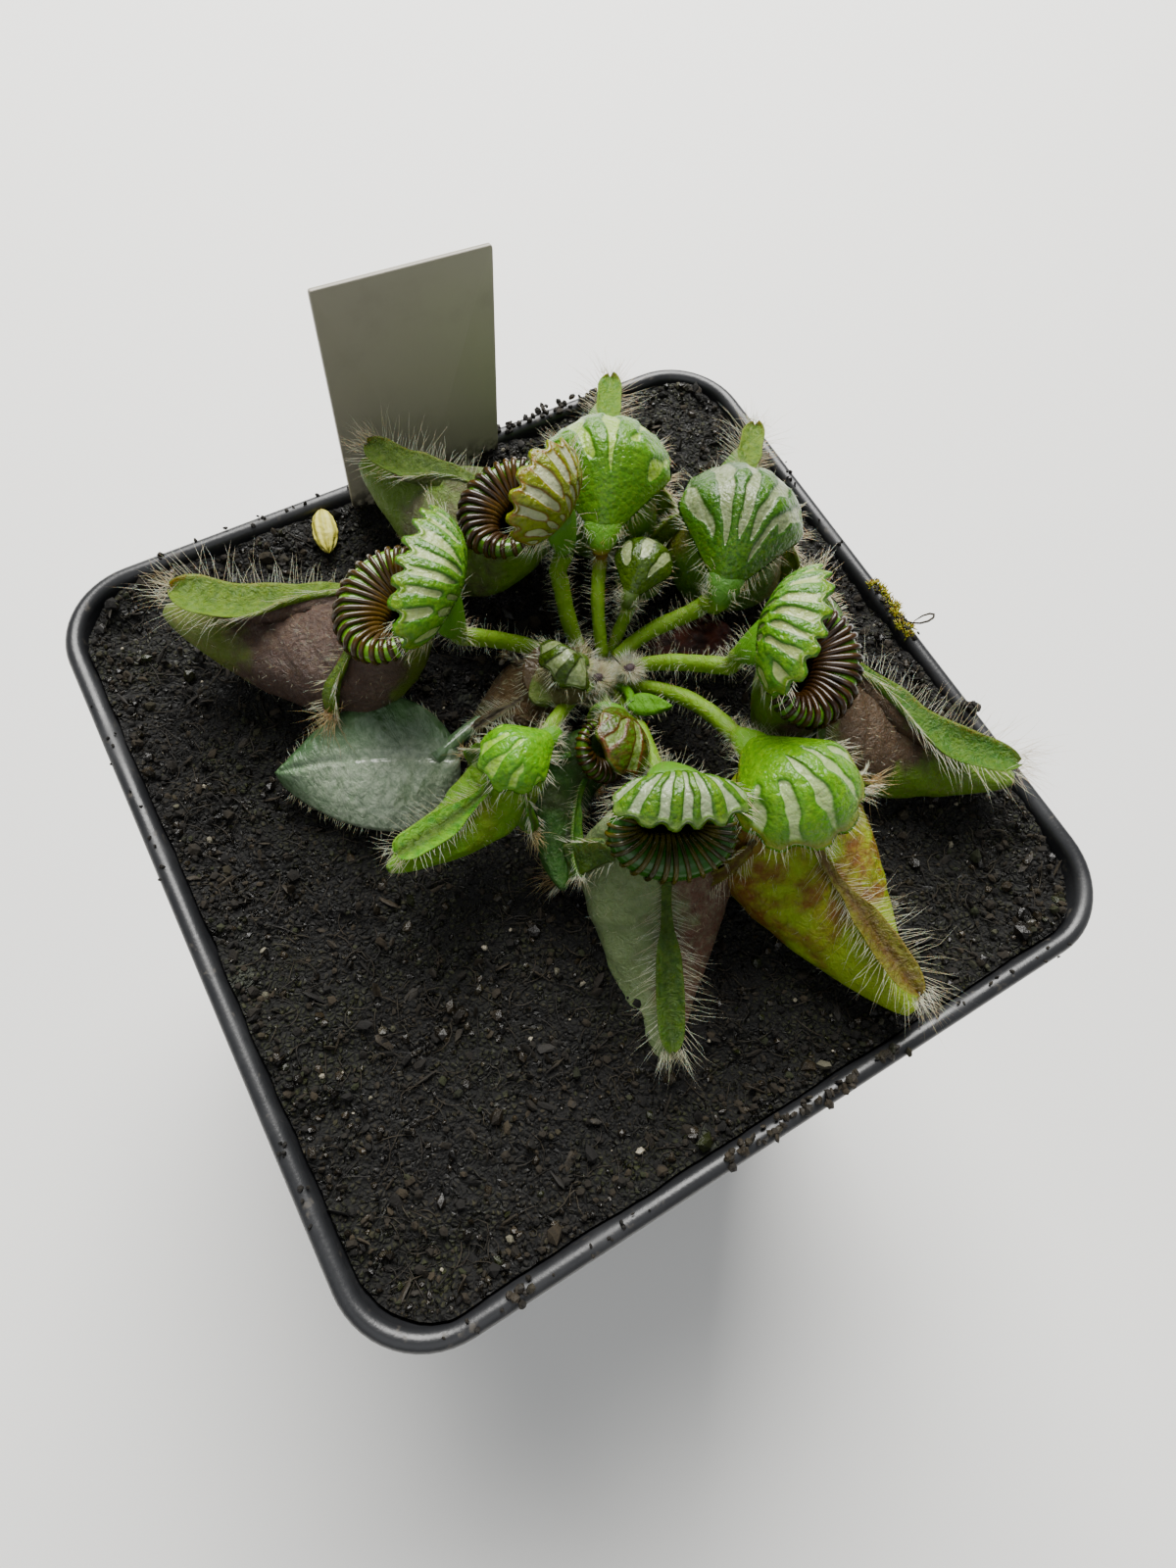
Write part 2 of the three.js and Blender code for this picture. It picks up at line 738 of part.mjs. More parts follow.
function blade({ base, tip, half, arch, droop = 0 }, grow = 0) {
  const from = point(...base).add(point(0, 0, POT_HEIGHT));
  const to = point(...tip).add(point(0, 0, POT_HEIGHT));
  const way = to.clone().sub(from);
  const across = point(-way.y, way.x, 0).normalize();
  const STEPS = 9;
  const rings = [];
  for (let i = 0; i <= STEPS; i++) {
    const t = 0.02 + (0.97 * i) / STEPS;
    const middle = from.clone().addScaledVector(way, t);
    middle.z += arch * Math.sin(Math.PI * t);
    const wide = half * Math.sin(Math.PI * t ** 0.72) ** 0.75 + grow;
    const thick = BLADE_THICKNESS / 2 + grow;
    const side = (share, z) =>
      middle
        .clone()
        .addScaledVector(across, share * wide)
        .add(point(0, 0, z - droop * share * share));
    rings.push([
      side(-1, -0.3 - grow),
      side(-0.55, -thick),
      side(0, -thick - 0.25),
      side(0.55, -thick),
      side(1, -0.3 - grow),
      side(1, 0.3 + grow),
      side(0.5, thick),
      side(0, thick - 0.25),
      side(-0.5, thick),
      side(-1, 0.3 + grow),
    ]);
  }
  return loft(rings);
}

// The stalk of a flat leaf, from the crown to its base.
function stalk({ base, tip, from, rise, size }, grow = 0) {
  const lift = point(0, 0, POT_HEIGHT);
  const end = point(...base).lerp(point(...tip), 0.12).add(lift);
  const start = CROWN.clone();
  start.add(point(Math.cos(radians(from[0])) * 2, Math.sin(radians(from[0])) * 2, from[1]));
  const line = new THREE.QuadraticBezierCurve3(start, point(...rise).add(lift), end);
  return tube(line, 5, 6, () => size + grow);
}

const LEAVES = [
  {
    name: "leaf_left",
    base: [-9.5, 9.6, 0.5],
    tip: [-30.5, 12.2, -0.5],
    half: 7.8,
    arch: 2.2,
    droop: 1.6,
    colour: 0x4a6a48,
    stalk: { from: [155, -1.5], rise: [-2, 10, 1.5], size: 0.9 },
    clears: ["pitcher_left", "pitcher_centre_old", "pitcher_front_left"],
  },
  {
    name: "leaf_crown_small",
    base: [8.5, 0.5, 4.5],
    tip: [13.5, -2.5, 5.2],
    half: 1.6,
    arch: 0.3,
    colour: 0x4d8f1f,
    stalk: { from: [-75, 1.5], rise: [7.8, 2.5, 4], size: 0.6 },
    clears: ["pitcher_right", "pitcher_front_right", "pitcher_front"],
  },
];

// The plant's label, pushed into the soil against the back wall, a little askew

function label(grow = 0) {
  const plate = new THREE.BoxGeometry(
    LABEL_WIDTH + 2 * grow,
    LABEL_THICKNESS + 2 * grow,
    LABEL_LENGTH + 2 * grow,
  );
  plate.translate(0, 0, LABEL_ABOVE_RIM - LABEL_LENGTH / 2);
  plate.rotateY(radians(4)).rotateX(radians(-LABEL_LEAN)).rotateZ(radians(1.5));
  return plate.translate(1.8, INNER_RIM_SIDE / 2 - 0.9, POT_HEIGHT);
}

// A pale grain and the remains of an old leaf lie on the soil

function pebble({ at, size, turn }, grow = 0) {
  const [long, wide, high] = size.map((length) => length / 2 + grow);
  const form = new THREE.SphereGeometry(1, 9, 6).rotateX(Math.PI / 2);
  form.scale(long, wide, high).rotateZ(radians(turn));
  return form.translate(at[0], at[1], soilHeight(at[0], at[1]) + at[2]);
}

const GRAIN = { at: [-12.8, 40, 0.9], size: [6.6, 3, 2], turn: 75 };
const OLD_LEAF = { at: [19.5, 7, 0.4], size: [11, 6, 2.6], turn: -20 };

// Everything in its place

const object = new THREE.Group();
const crownSwollen = crown(GAP);
const swollen = new Map();
const leaves = [];
for (const spec of PITCHERS) {
  const toWorld = frameOf(spec);
  const toLocal = toWorld.clone().invert();
  const pieces = (grow) => {
    const bodies = [
      solid(outerBody(spec, grow)),
      solid(neck(spec, grow)),
      solid(stem(spec, toWorld, grow), toLocal),
    ];
    if (spec.length > 10) {
      bodies.push(solid(frontWing(spec, grow)));
      for (const side of [-1, 1]) bodies.push(solid(sideWing(spec, side, grow)));
    }
    return bodies;
  };
  const tops = [solid(lid(spec, GAP))];
  const lipped = hasLip(spec);
  if (lipped) tops.push(solid(lip(spec, GAP)));
  swollen.set(spec.name, join([...pieces(GAP), ...tops]).transform(toWorld.elements));
  leaves.push({ spec, toLocal, lipped, whole: join(pieces(0)) });
}

for (const { spec, toLocal, lipped, whole } of leaves) {
  const neighbours = (spec.clears ?? []).map((name) => swollen.get(name));
  const cutters = [crownSwollen, ...neighbours].map((body) => body.transform(toLocal.elements));
  const lidBody = largest(cut(solid(lid(spec)), cutters));
  if (!spec.shut) cutters.push(solid(cavity(spec)));
  const group = new THREE.Group();
  group.position.set(...spec.mouth).add(point(0, 0, POT_HEIGHT));
  group.rotation.set(
    radians(spec.roll ?? 0),
    radians(spec.pitch ?? 0),
    radians(spec.azimuth),
    "ZYX",
  );
  group.add(part(spec.name, geometryOf(largest(cut(whole, cutters))), spec.colour, 0.45));
  group.add(part(spec.name + "_lid", geometryOf(lidBody), 0x86a862, 0.3));
  if (lipped) group.add(part(spec.name + "_lip", lip(spec), 0x33200f, 0.18));
  object.add(group);
}

for (const spec of LEAVES) {
  const whole = (grow) =>
    join([solid(blade(spec, grow)), solid(stalk({ ...spec, ...spec.stalk }, grow))]);
  const body = cut(whole(0), [crownSwollen, ...spec.clears.map((name) => swollen.get(name))]);
  swollen.set(spec.name, whole(GAP));
  object.add(part(spec.name, geometryOf(largest(body)), spec.colour, 0.4));
}

const hollows = [
  crownSwollen,
  solid(label(GAP)),
  solid(pebble(GRAIN, GAP)),
  solid(pebble(OLD_LEAF, GAP)),
  ...swollen.values(),
];
const oldLeaf = cut(solid(pebble(OLD_LEAF)), [crownSwollen, ...swollen.values()]);
object.add(part("old_leaf", geometryOf(largest(oldLeaf)), 0x4a2a1c, 0.8));
object.add(part("pale_grain", pebble(GRAIN), 0xd8cf6a, 0.7));
object.add(part("plant_label", label(), 0xdcdccf, 0.5));
object.add(part("pot", geometryOf(pot()), 0x1b1c1f, 0.42));
object.add(part("soil", geometryOf(largest(cut(soilBlock(), hollows))), 0x17140f, 0.9));
object.add(part("crown", geometryOf(crown()), 0xb9b48e, 0.7));

export default object;
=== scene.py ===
import json
import math
from itertools import combinations

import bpy
import numpy as np
from mathutils import Matrix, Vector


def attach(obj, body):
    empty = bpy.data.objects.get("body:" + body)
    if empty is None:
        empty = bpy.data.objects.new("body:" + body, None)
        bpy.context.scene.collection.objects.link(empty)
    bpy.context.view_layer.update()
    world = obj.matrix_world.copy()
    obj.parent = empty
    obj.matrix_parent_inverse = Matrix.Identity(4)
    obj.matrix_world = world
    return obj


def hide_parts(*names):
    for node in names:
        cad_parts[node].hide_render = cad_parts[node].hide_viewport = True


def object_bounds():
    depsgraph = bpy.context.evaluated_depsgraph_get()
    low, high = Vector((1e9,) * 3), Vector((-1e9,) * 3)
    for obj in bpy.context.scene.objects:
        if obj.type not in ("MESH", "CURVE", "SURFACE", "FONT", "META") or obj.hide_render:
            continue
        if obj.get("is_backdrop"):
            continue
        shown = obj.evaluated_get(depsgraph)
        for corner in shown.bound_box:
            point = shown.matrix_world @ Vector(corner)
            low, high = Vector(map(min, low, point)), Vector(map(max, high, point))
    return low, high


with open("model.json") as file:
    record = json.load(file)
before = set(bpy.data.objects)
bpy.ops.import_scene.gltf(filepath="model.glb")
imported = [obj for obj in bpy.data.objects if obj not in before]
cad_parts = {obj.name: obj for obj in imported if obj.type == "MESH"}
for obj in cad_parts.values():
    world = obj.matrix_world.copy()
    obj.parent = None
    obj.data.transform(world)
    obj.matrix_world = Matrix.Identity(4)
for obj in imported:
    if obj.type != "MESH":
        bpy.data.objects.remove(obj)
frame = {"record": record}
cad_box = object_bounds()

# Pot
# A square nursery pot, injection moulded in black plastic with a satin surface. It has a
# rolled rim over a collar, and a channel moulded into its underside leads the water off.

MM = 0.001
HALF_TURN = math.pi
RIM_SIDE = 90
POT_HEIGHT = 90
BASE_SIDE = 66
RIM_CORNER = 9.5
POT_WALL = 1.2
POT_FLOOR = 2.4
COLLAR_HEIGHT = 9
LIP_WIDTH = 2
COLLAR_FOOT = POT_HEIGHT - COLLAR_HEIGHT
SHOULDER_SIDE = RIM_SIDE - 5
INNER_RIM_SIDE = RIM_SIDE - 2 * LIP_WIDTH
INNER_SHOULDER_SIDE = SHOULDER_SIDE - 2 * POT_WALL
INNER_BASE_SIDE = BASE_SIDE - 2 * POT_WALL
INNER_CORNER = RIM_CORNER - LIP_WIDTH
DRAIN_RADIUS = 3
CHANNEL_DEPTH = 1.1
CHANNEL_SIDE = BASE_SIDE - 14
PAD_SIDE = CHANNEL_SIDE - 4 * DRAIN_RADIUS


def stack(*parts):
    """Numbers or arrays of fitting shapes side by side, as the last axis of one array."""
    return np.stack(np.broadcast_arrays(*parts), -1)


def tint(code):
    """A colour written as red, green and blue on a screen, turned to the shader's scale and
    made deeper and purer, since soft light washes it out again."""
    depth, purity = 0.66, 1.4
    parts = np.array([*bytes.fromhex(code)]) / 255
    linear = np.where(parts < 0.04, parts / 12.92, ((parts + 0.055) / 1.055) ** 2.4)
    pure = linear.mean() + (linear - linear.mean()) * purity
    return np.maximum(pure * depth, 0.001).tolist()


class Field:
    """A number that the shader works out at each point, with ordinary arithmetic."""

    def __init__(self, paint, socket):
        self.paint = paint
        self.socket = socket

    def math(self, operation, *others):
        """A maths node on this field and then the others."""
        made = self.paint.node("ShaderNodeMath", {"operation": operation})
        for entry, value in zip(made.inputs, (self, *others)):
            self.paint.feed(entry, value)
        return Field(self.paint, made.outputs[0])

    def __add__(self, other):
        return self.math("ADD", other)

    def __sub__(self, other):
        return self.math("SUBTRACT", other)

    def __rsub__(self, other):
        return self.math("MULTIPLY_ADD", -1.0, other)

    def __mul__(self, other):
        return self.math("MULTIPLY", other)

    def __abs__(self):
        return self.math("ABSOLUTE")

    def sin(self):
        return self.math("SINE")

    def rise(self, low, high):
        """0 below low and 1 above high, with a smooth step between them."""
        smooth = {"interpolation_type": "SMOOTHSTEP"}
        made = self.paint.node("ShaderNodeMapRange", smooth, Value=self, From_Min=low, From_Max=high)
        return Field(self.paint, made.outputs["Result"])

    __radd__ = __add__
    __rmul__ = __mul__


class Paint:
    """A procedural material on Object coordinates and on the mesh's place attribute. Shine
    is the strength of its mirror light, and glow the share of light that goes under the
    skin, to a depth in millimetres. A colour is three numbers or a code for tint."""

    def __init__(self, name, roughness, shine=0.5, glow=0, depth=1, coat=0):
        self.material = bpy.data.materials.new(name)
        self.material.use_nodes = True
        self.tree = self.material.node_tree
        self.entries = self.tree.nodes["Principled BSDF"].inputs
        self.spot = self.node("ShaderNodeTexCoord").outputs["Object"]
        self.entries["Roughness"].default_value = roughness
        self.entries["Specular IOR Level"].default_value = shine
        self.entries["Subsurface Weight"].default_value = glow
        self.entries["Subsurface Scale"].default_value = depth * MM
        self.entries["Coat Weight"].default_value = coat

    def node(self, kind, settings=(), **inputs):
        """A node of that type with its settings, then the values or links of its sockets."""
        made = self.tree.nodes.new(kind)
        for key, value in dict(settings).items():
            setattr(made, key, value)
        for key, value in inputs.items():
            self.feed(made.inputs[key.replace("_", " ")], value)
        return made

    def feed(self, entry, value):
        """Gives a socket a field, a link, a number or a colour."""
        value = tint(value) if isinstance(value, str) else getattr(value, "socket", value)
        if isinstance(value, bpy.types.NodeSocket):
            self.tree.links.new(value, entry)
        else:
            entry.default_value = (*value, 1) if entry.type == "RGBA" else value

    def noise(self, size, detail=3.0, rough=0.55, stretch=(1, 1, 1), shift=0.0, bend=0.0):
        """Noise from 0 to 1 with blobs of that size in millimetres."""
        scale = tuple(k / (size * MM) for k in stretch)
        spot = self.node("ShaderNodeMapping", Vector=self.spot, Scale=scale, Location=(shift,) * 3)
        shape = dict(Scale=1.0, Detail=detail, Roughness=rough, Distortion=bend)
        made = self.node("ShaderNodeTexNoise", Vector=spot.outputs[0], **shape)
        return Field(self, made.outputs["Fac"])

    def cells(self, size, feature="DISTANCE_TO_EDGE"):
        """Distance to the nearest cell edge or centre, for cells of that size in millimetres."""
        scale = 1 / (size * MM)
        made = self.node("ShaderNodeTexVoronoi", {"feature": feature}, Vector=self.spot, Scale=scale)
        return Field(self, made.outputs["Distance"])

    def place(self):
        """The three numbers of the place attribute, as fields."""
        made = self.node("ShaderNodeAttribute", {"attribute_name": "place"})
        parts = self.node("ShaderNodeSeparateXYZ", Vector=made.outputs["Vector"])
        return [Field(self, socket) for socket in parts.outputs]

    def height(self):
        """Height above the pot's foot, in millimetres."""
        parts = self.node("ShaderNodeSeparateXYZ", Vector=self.spot)
        return Field(self, parts.outputs["Z"]) * (1 / MM)

    def blend(self, base, *layers):
        """A base colour with others laid over it in turn, each as thick as its share."""
        for share, colour in layers:
            made = self.node("ShaderNodeMix", {"data_type": "RGBA"}, Factor=share)
            self.feed(made.inputs[6], base)
            self.feed(made.inputs[7], colour)
            base = made.outputs[2]
        return base

    def colour(self, base, *layers):
        self.feed(self.entries["Base Color"], self.blend(base, *layers))

    def roughness(self, value):
        self.feed(self.entries["Roughness"], value)

    def relief(self, field, height):
        """Bumps of that height in millimetres, where the field is 1."""
        bump = self.node("ShaderNodeBump", Height=field, Strength=1.0, Distance=height * MM)
        self.feed(self.entries["Normal"], bump.outputs[0])


class Form:
    """Points, faces and place numbers gathered from several surfaces into one mesh."""

    def __init__(self):
        self.points = []
        self.places = []
        self.faces = []
        self.count = 0

    def take(self, points, place):
        """Adds points with their place numbers and gives the indices they get."""
        self.points.append(points.reshape(-1, 3))
        self.places.append(np.broadcast_to(place, points.shape).reshape(-1, 3))
        index = np.arange(points.size // 3).reshape(points.shape[:-1]) + self.count
        self.count += index.size
        return index

    def grid(self, points, place=(0, 0, 0), wrap=True, turned=False, ends=(True, True)):
        """Quads between the rows and columns of points; wrap closes each row on itself,
        and ends closes the first or last row with a fan to its middle."""
        place = np.broadcast_to(place, points.shape)
        index = self.take(points, place)
        ring = np.concatenate([index, index[:, :1]], axis=1) if wrap else index
        quads = stack(ring[:-1, :-1], ring[:-1, 1:], ring[1:, 1:], ring[1:, :-1]).reshape(-1, 4)
        self.faces.append(quads[:, ::-1] if turned else quads)
        for row, wanted, flip in ((0, ends[0], not turned), (-1, ends[1], turned)):
            if wanted:
                hub = self.take(points[row].mean(0)[None], place[row].mean(0)[None])
                fan = stack(ring[row][:-1], ring[row][1:], hub)
                self.faces.append(fan[:, ::-1] if flip else fan)

    def copies(self, points, faces, place=(0, 0, 0)):
        """Many copies of one small mesh: points has a row for each copy."""
        index = self.take(points, place)
        for face in faces:
            self.faces.append(index[:, face])

    def build(self, name, paint, smooth=True):
        """The gathered surfaces as one object in the scene."""
        mesh = bpy.data.meshes.new(name)
        points = np.concatenate(self.points) * MM
        corners = np.concatenate([face.ravel() for face in self.faces])
        sizes = np.concatenate([np.full(len(face), face.shape[1]) for face in self.faces])
        starts = np.cumsum(sizes) - sizes
        mesh.vertices.add(len(points))
        mesh.vertices.foreach_set("co", points.astype(np.float32).ravel())
        mesh.loops.add(len(corners))
        mesh.loops.foreach_set("vertex_index", corners.astype(np.int32))
        mesh.polygons.add(len(sizes))
        mesh.polygons.foreach_set("loop_start", starts.astype(np.int32))
        mesh.polygons.foreach_set("use_smooth", np.full(len(sizes), smooth))
        place = mesh.attributes.new("place", "FLOAT_VECTOR", "POINT")
        place.data.foreach_set("vector", np.concatenate(self.places).astype(np.float32).ravel())
        mesh.update(calc_edges=True)
        mesh.validate()
        mesh.materials.append(paint.material)
        made = bpy.data.objects.new(name, mesh)
        bpy.context.scene.collection.objects.link(made)
        return made

    def piece(self, name, paint, slot, *nodes, smooth=True):
        """An object that rides on the part and may stand for CAD nodes."""
        made = self.build(name, paint, smooth)
        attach(made, "root")
        if nodes:
            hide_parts(*nodes)


def square_ring(side, corner, height):
    """A square with round corners: a quarter circle, then points along the side to the next
    corner, and the same turned to the other three corners."""
    middle = side / 2 - corner
    angle = np.linspace(0, HALF_TURN / 2, 15)
    back = middle * np.linspace(1, -1, 11)[1:-1]
    x = np.concatenate([middle + corner * np.cos(angle), back])
    y = np.concatenate([middle + corner * np.sin(angle), np.full(len(back), side / 2)])
    return np.concatenate([stack(*flat, height) for flat in ((x, y), (-y, x), (-x, -y), (y, -x))])


def pot_profile():
    """Rings from the pad under the floor, out over the channel and up the outside, round
    the rolled rim and down the inside to the middle of the floor. The rim is an arc."""
    lip = LIP_WIDTH / 2
    spread = SHOULDER_SIDE - BASE_SIDE
    rings = [
        (PAD_SIDE * 0.5, 2, 0),
        (PAD_SIDE, INNER_CORNER - 1.5, 0),
        (PAD_SIDE + 0.4, INNER_CORNER - 1.3, CHANNEL_DEPTH),
        (CHANNEL_SIDE - 0.4, INNER_CORNER - 0.2, CHANNEL_DEPTH),
        (CHANNEL_SIDE, INNER_CORNER, 0),
        (BASE_SIDE - 1, INNER_CORNER, 0),
        (BASE_SIDE, INNER_CORNER, 0.5),
    ]
    for share in np.linspace(0.02, 1, 14):
        rings.append((BASE_SIDE + spread * share, INNER_CORNER, COLLAR_FOOT * share))
    rings += [
        (RIM_SIDE - 1.4, RIM_CORNER - 0.6, COLLAR_FOOT + 0.2),
        (RIM_SIDE - 0.9, RIM_CORNER, COLLAR_FOOT + 0.7),
        (RIM_SIDE - 0.5, RIM_CORNER, COLLAR_FOOT + COLLAR_HEIGHT / 2),
    ]
    for angle in np.linspace(0, HALF_TURN, 9):
        inset = lip * (1 - math.cos(angle))
        drop = lip * (1 - math.sin(angle))
        rings.append((RIM_SIDE - 2 * inset, RIM_CORNER - inset, POT_HEIGHT - drop))
    rings += [
        (INNER_RIM_SIDE, INNER_CORNER, COLLAR_FOOT + 2),
        (INNER_SHOULDER_SIDE, INNER_CORNER - 1, COLLAR_FOOT),
        (INNER_BASE_SIDE, INNER_CORNER - 1, POT_FLOOR),
        (INNER_BASE_SIDE * 0.4, 2, POT_FLOOR),
    ]
    return np.array([square_ring(*ring) for ring in rings])


def plastic():
    """Satin black plastic, with faint dust, fine scratches and dried splashes near the rim."""
    paint = Paint("pot_plastic", 0.4)
    dust = paint.noise(9, 5).rise(0.42, 0.8)
    splash = paint.noise(1.6, 4).rise(0.62, 0.72) * paint.height().rise(70, 90)
    scratch = paint.noise(0.5, 3, stretch=(1, 1, 0.12))
    paint.colour(
        (0.012, 0.0125, 0.014),
        (dust * 0.55, (0.035, 0.036, 0.038)),
        (splash * 0.5, (0.07, 0.06, 0.045)),
    )
    paint.roughness(0.3 + dust * 0.2 + splash * 0.2 + scratch * 0.1)
    paint.relief(paint.noise(0.35, 3) + scratch * 0.5, 0.02)
    return paint


pot = Form()
pot.grid(pot_profile())
pot.piece("pot_body", plastic(), "pot", "pot")


# Soil
# Peat, packed by hand into the pot and heaped against the two back sides. It is wet and
# nearly black, with crumbs, root fibres, chips of bark and small pale grains of sand.

SOIL_BELOW_RIM = 3.4
SOIL_HEAP = 2.4
SOIL_SIDE = INNER_RIM_SIDE - 0.5
SOIL_CELLS = 220
CRUMBS = 5800
DRY_CRUMBS = 0.66
DARK_CRUMBS = 0.993
CHIPS = 420
FIBRES = 2200
FIBRE_LIMIT = 42
random = np.random.default_rng(7)


def smooth_step(value, low, high):
    """0 below low and 1 above high; between them 3s^2 - 2s^3 of the share s."""
    share = np.clip((value - low) / (high - low), 0, 1)
    return share * share * (3 - 2 * share)


def lattice(x, y, cell, seed):
    """Smooth noise from -1 to 1: random heights on a square lattice, blended by a smooth
    step between its corners."""
    table = np.random.default_rng(seed).uniform(-1, 1, (256, 256))
    u = x / cell + 113.7
    v = y / cell + 67.3
    i = np.floor(u).astype(int)
    j = np.floor(v).astype(int)
    s = smooth_step(u - i, 0, 1)
    t = smooth_step(v - j, 0, 1)
    near, far = i % 256, (i + 1) % 256
    rows = [table[near, j % 256] * (1 - s) + table[far, j % 256] * s]
    rows.append(table[near, (j + 1) % 256] * (1 - s) + table[far, (j + 1) % 256] * s)
    return rows[0] * (1 - t) + rows[1] * t


def soil_level(x, y):
    """Height of the soil as in the CAD: a slope up to the back sides and low waves."""
    back = smooth_step(x + y, -40, 70)
    waves = 0.35 * np.sin(0.23 * x + 1) * np.cos(0.19 * y)
    waves = waves + 0.22 * np.sin(0.61 * x - 0.43 * y) + 0.16 * np.cos(0.92 * y + 0.35 * x)
    return POT_HEIGHT - SOIL_BELOW_RIM + SOIL_HEAP * back + waves


def soil_surface(x, y):
    """The soil's level, banked up at the pot's walls, with clods, crumbs and grit: lattice
    noise at five sizes, with the finer ones folded into sharp little pits."""
    edge = np.maximum(np.abs(x), np.abs(y)) - SOIL_SIDE / 2
    bank = smooth_step(edge, -5, -0.3) * (1.5 + 0.8 * lattice(x, y, 6, 31))
    height = soil_level(x, y) + bank * smooth_step(-x - y, -60, 10)
    height = height + 0.5 * lattice(x, y, 5.2, 1) + 0.42 * lattice(x, y, 2.3, 2)
    height = height + 0.34 * np.abs(lattice(x, y, 1.15, 3)) + 0.12 * lattice(x, y, 0.4, 5)
    return height - 0.3 * np.abs(lattice(x + 0.4 * y, y, 0.62, 4)) ** 0.7


def soil_grid():
    """A square grid bent to the pot's round corners: each square ring of the grid becomes
    a ring of the same size whose corners are arcs, with points spaced evenly along it."""
    line = np.linspace(-1, 1, SOIL_CELLS + 1)
    x, y = np.meshgrid(line, line, indexing="ij")
    size = np.maximum(np.maximum(np.abs(x), np.abs(y)), 1e-9)
    flip = np.abs(y) > np.abs(x)
    main = np.where(flip, y, x)
    side = np.where(flip, x, y)
    half = size * SOIL_SIDE / 2
    corner = np.minimum(INNER_CORNER * size**0.5 * np.minimum(1, size * 4), half)
    straight = half - corner
    run = np.abs(side) / size * (straight + corner * HALF_TURN / 4)
    angle = np.clip(run - straight, 0, None) / np.maximum(corner, 1e-9)
    bent = run > straight
    along = np.where(bent, straight + corner * np.sin(angle), run) * np.sign(side)
    out = np.where(bent, straight + corner * np.cos(angle), half) * np.sign(main)
    return np.where(flip, along, out), np.where(flip, out, along)


def peat():
    """Wet peat: near black, browner and greener in drifts and paler where algae dry on it.
    Painted shade darkens the cracks between its crumbs, which are cells of two sizes, and
    the hollows between its clods."""
    paint = Paint("peat", 0.6, shine=0.4)
    crumb = paint.noise(0.7, 5, 0.7)
    clod = paint.noise(3.4, 5, 0.6, bend=1)
    small = paint.cells(0.62).rise(0.0, 0.3)
    large = paint.cells(1.5).rise(0.0, 0.25)
    algae = paint.noise(5, 4, shift=4.0, stretch=(1, 0.5, 1)).rise(0.66, 0.74)
    wet = paint.noise(0.9, 4, shift=2.0).rise(0.46, 0.6)
    pool = paint.noise(9, 4, shift=6.0).rise(0.56, 0.66)
    paint.colour(
        (0.003, 0.0025, 0.0013),
        (crumb.rise(0.4, 0.7), (0.042, 0.034, 0.015)),
        (paint.noise(14, 4).rise(0.42, 0.6) * 0.65, (0.028, 0.034, 0.008)),
        # Painted shade: near black in the cracks between the crumb cells.
        (1 - small * (large * 0.5 + 0.5), (0.0012, 0.001, 0.0008)),
        # Painted shade: darker in the hollows between the clods of the relief.
        ((1 - clod.rise(0.36, 0.56)) * 0.75, (0.0016, 0.0014, 0.001)),
        (algae * crumb * 0.8, (0.08, 0.09, 0.066)),
    )
    paint.roughness(0.9 - wet * 0.5 - pool * 0.18)
    paint.relief(small * 0.8 + large * 0.7 + crumb * 1.1 + clod * 3, 0.6)
    return paint


soil = Form()
x, y = soil_grid()
top = stack(x, y, soil_surface(x, y))
soil.grid(top, wrap=False, turned=True, ends=(False, False))
outline = np.concatenate([top[:-1, 0], top[-1, :-1], top[:0:-1, -1], top[0, :0:-1]])
skirt = [outline]
for side, height in (
    (SOIL_SIDE, COLLAR_FOOT + 2.3),
    (INNER_SHOULDER_SIDE - 0.6, COLLAR_FOOT + 0.3),
    (INNER_BASE_SIDE - 0.6, POT_FLOOR + 0.3),
):
    skirt.append(stack(*outline[:, :2].T * (side / SOIL_SIDE), height))
soil.grid(np.array(skirt), turned=True, ends=(False, True))
soil.piece("soil_peat", peat(), "soil", "soil")


def unit(vectors):
    """The vectors at length 1."""
    return vectors / np.maximum(np.linalg.norm(vectors, axis=-1, keepdims=True), 1e-9)


def circle(count, start=0):
    """Angles spread evenly over a full turn."""
    return start + np.linspace(0, 2 * HALF_TURN, count + 1)[:-1]


def spokes(ways, aside, count):
    """Unit vectors spread evenly round each way and square to it, the first one of them
    square to aside too."""
    side = unit(np.cross(ways, aside))
    turn = circle(count)[:, None]
    return side[..., None, :] * np.cos(turn) + np.cross(ways, side)[..., None, :] * np.sin(turn)


def scatter(form, spots, sizes, tones, lumpy=0.28):
    """A crumb on each spot: an icosahedron with its corners moved at random, stretched by
    sizes, three lengths a crumb, and turned at random. Tones go to the place attribute."""
    golden = (1 + math.sqrt(5)) / 2
    corners = []
    for a, b in ((1, golden), (1, -golden), (-1, golden), (-1, -golden)):
        corners += [(0, a, b), (a, b, 0), (b, 0, a)]
    corners = np.array(corners) / math.hypot(1, golden)
    near = np.linalg.norm(corners[:, None] - corners[None], axis=-1) < 1.2
    faces = []
    for i, j, k in combinations(range(len(corners)), 3):
        if near[i, j] and near[j, k] and near[i, k]:
            normal = np.cross(corners[j] - corners[i], corners[k] - corners[i])
            faces.append([i, j, k] if normal @ corners[i] > 0 else [i, k, j])
    count = len(spots)
    shape = corners * (1 + random.uniform(-lumpy, lumpy, (count, len(corners), 1)))
    first = unit(random.normal(0, 1, (count, 3)))
    second = unit(np.cross(first, random.normal(0, 1, (count, 3))))
    turn = np.stack([first, second, np.cross(first, second)], axis=1)
    form.copies(shape * sizes[:, None] @ turn + spots[:, None], faces, tones[:, None])


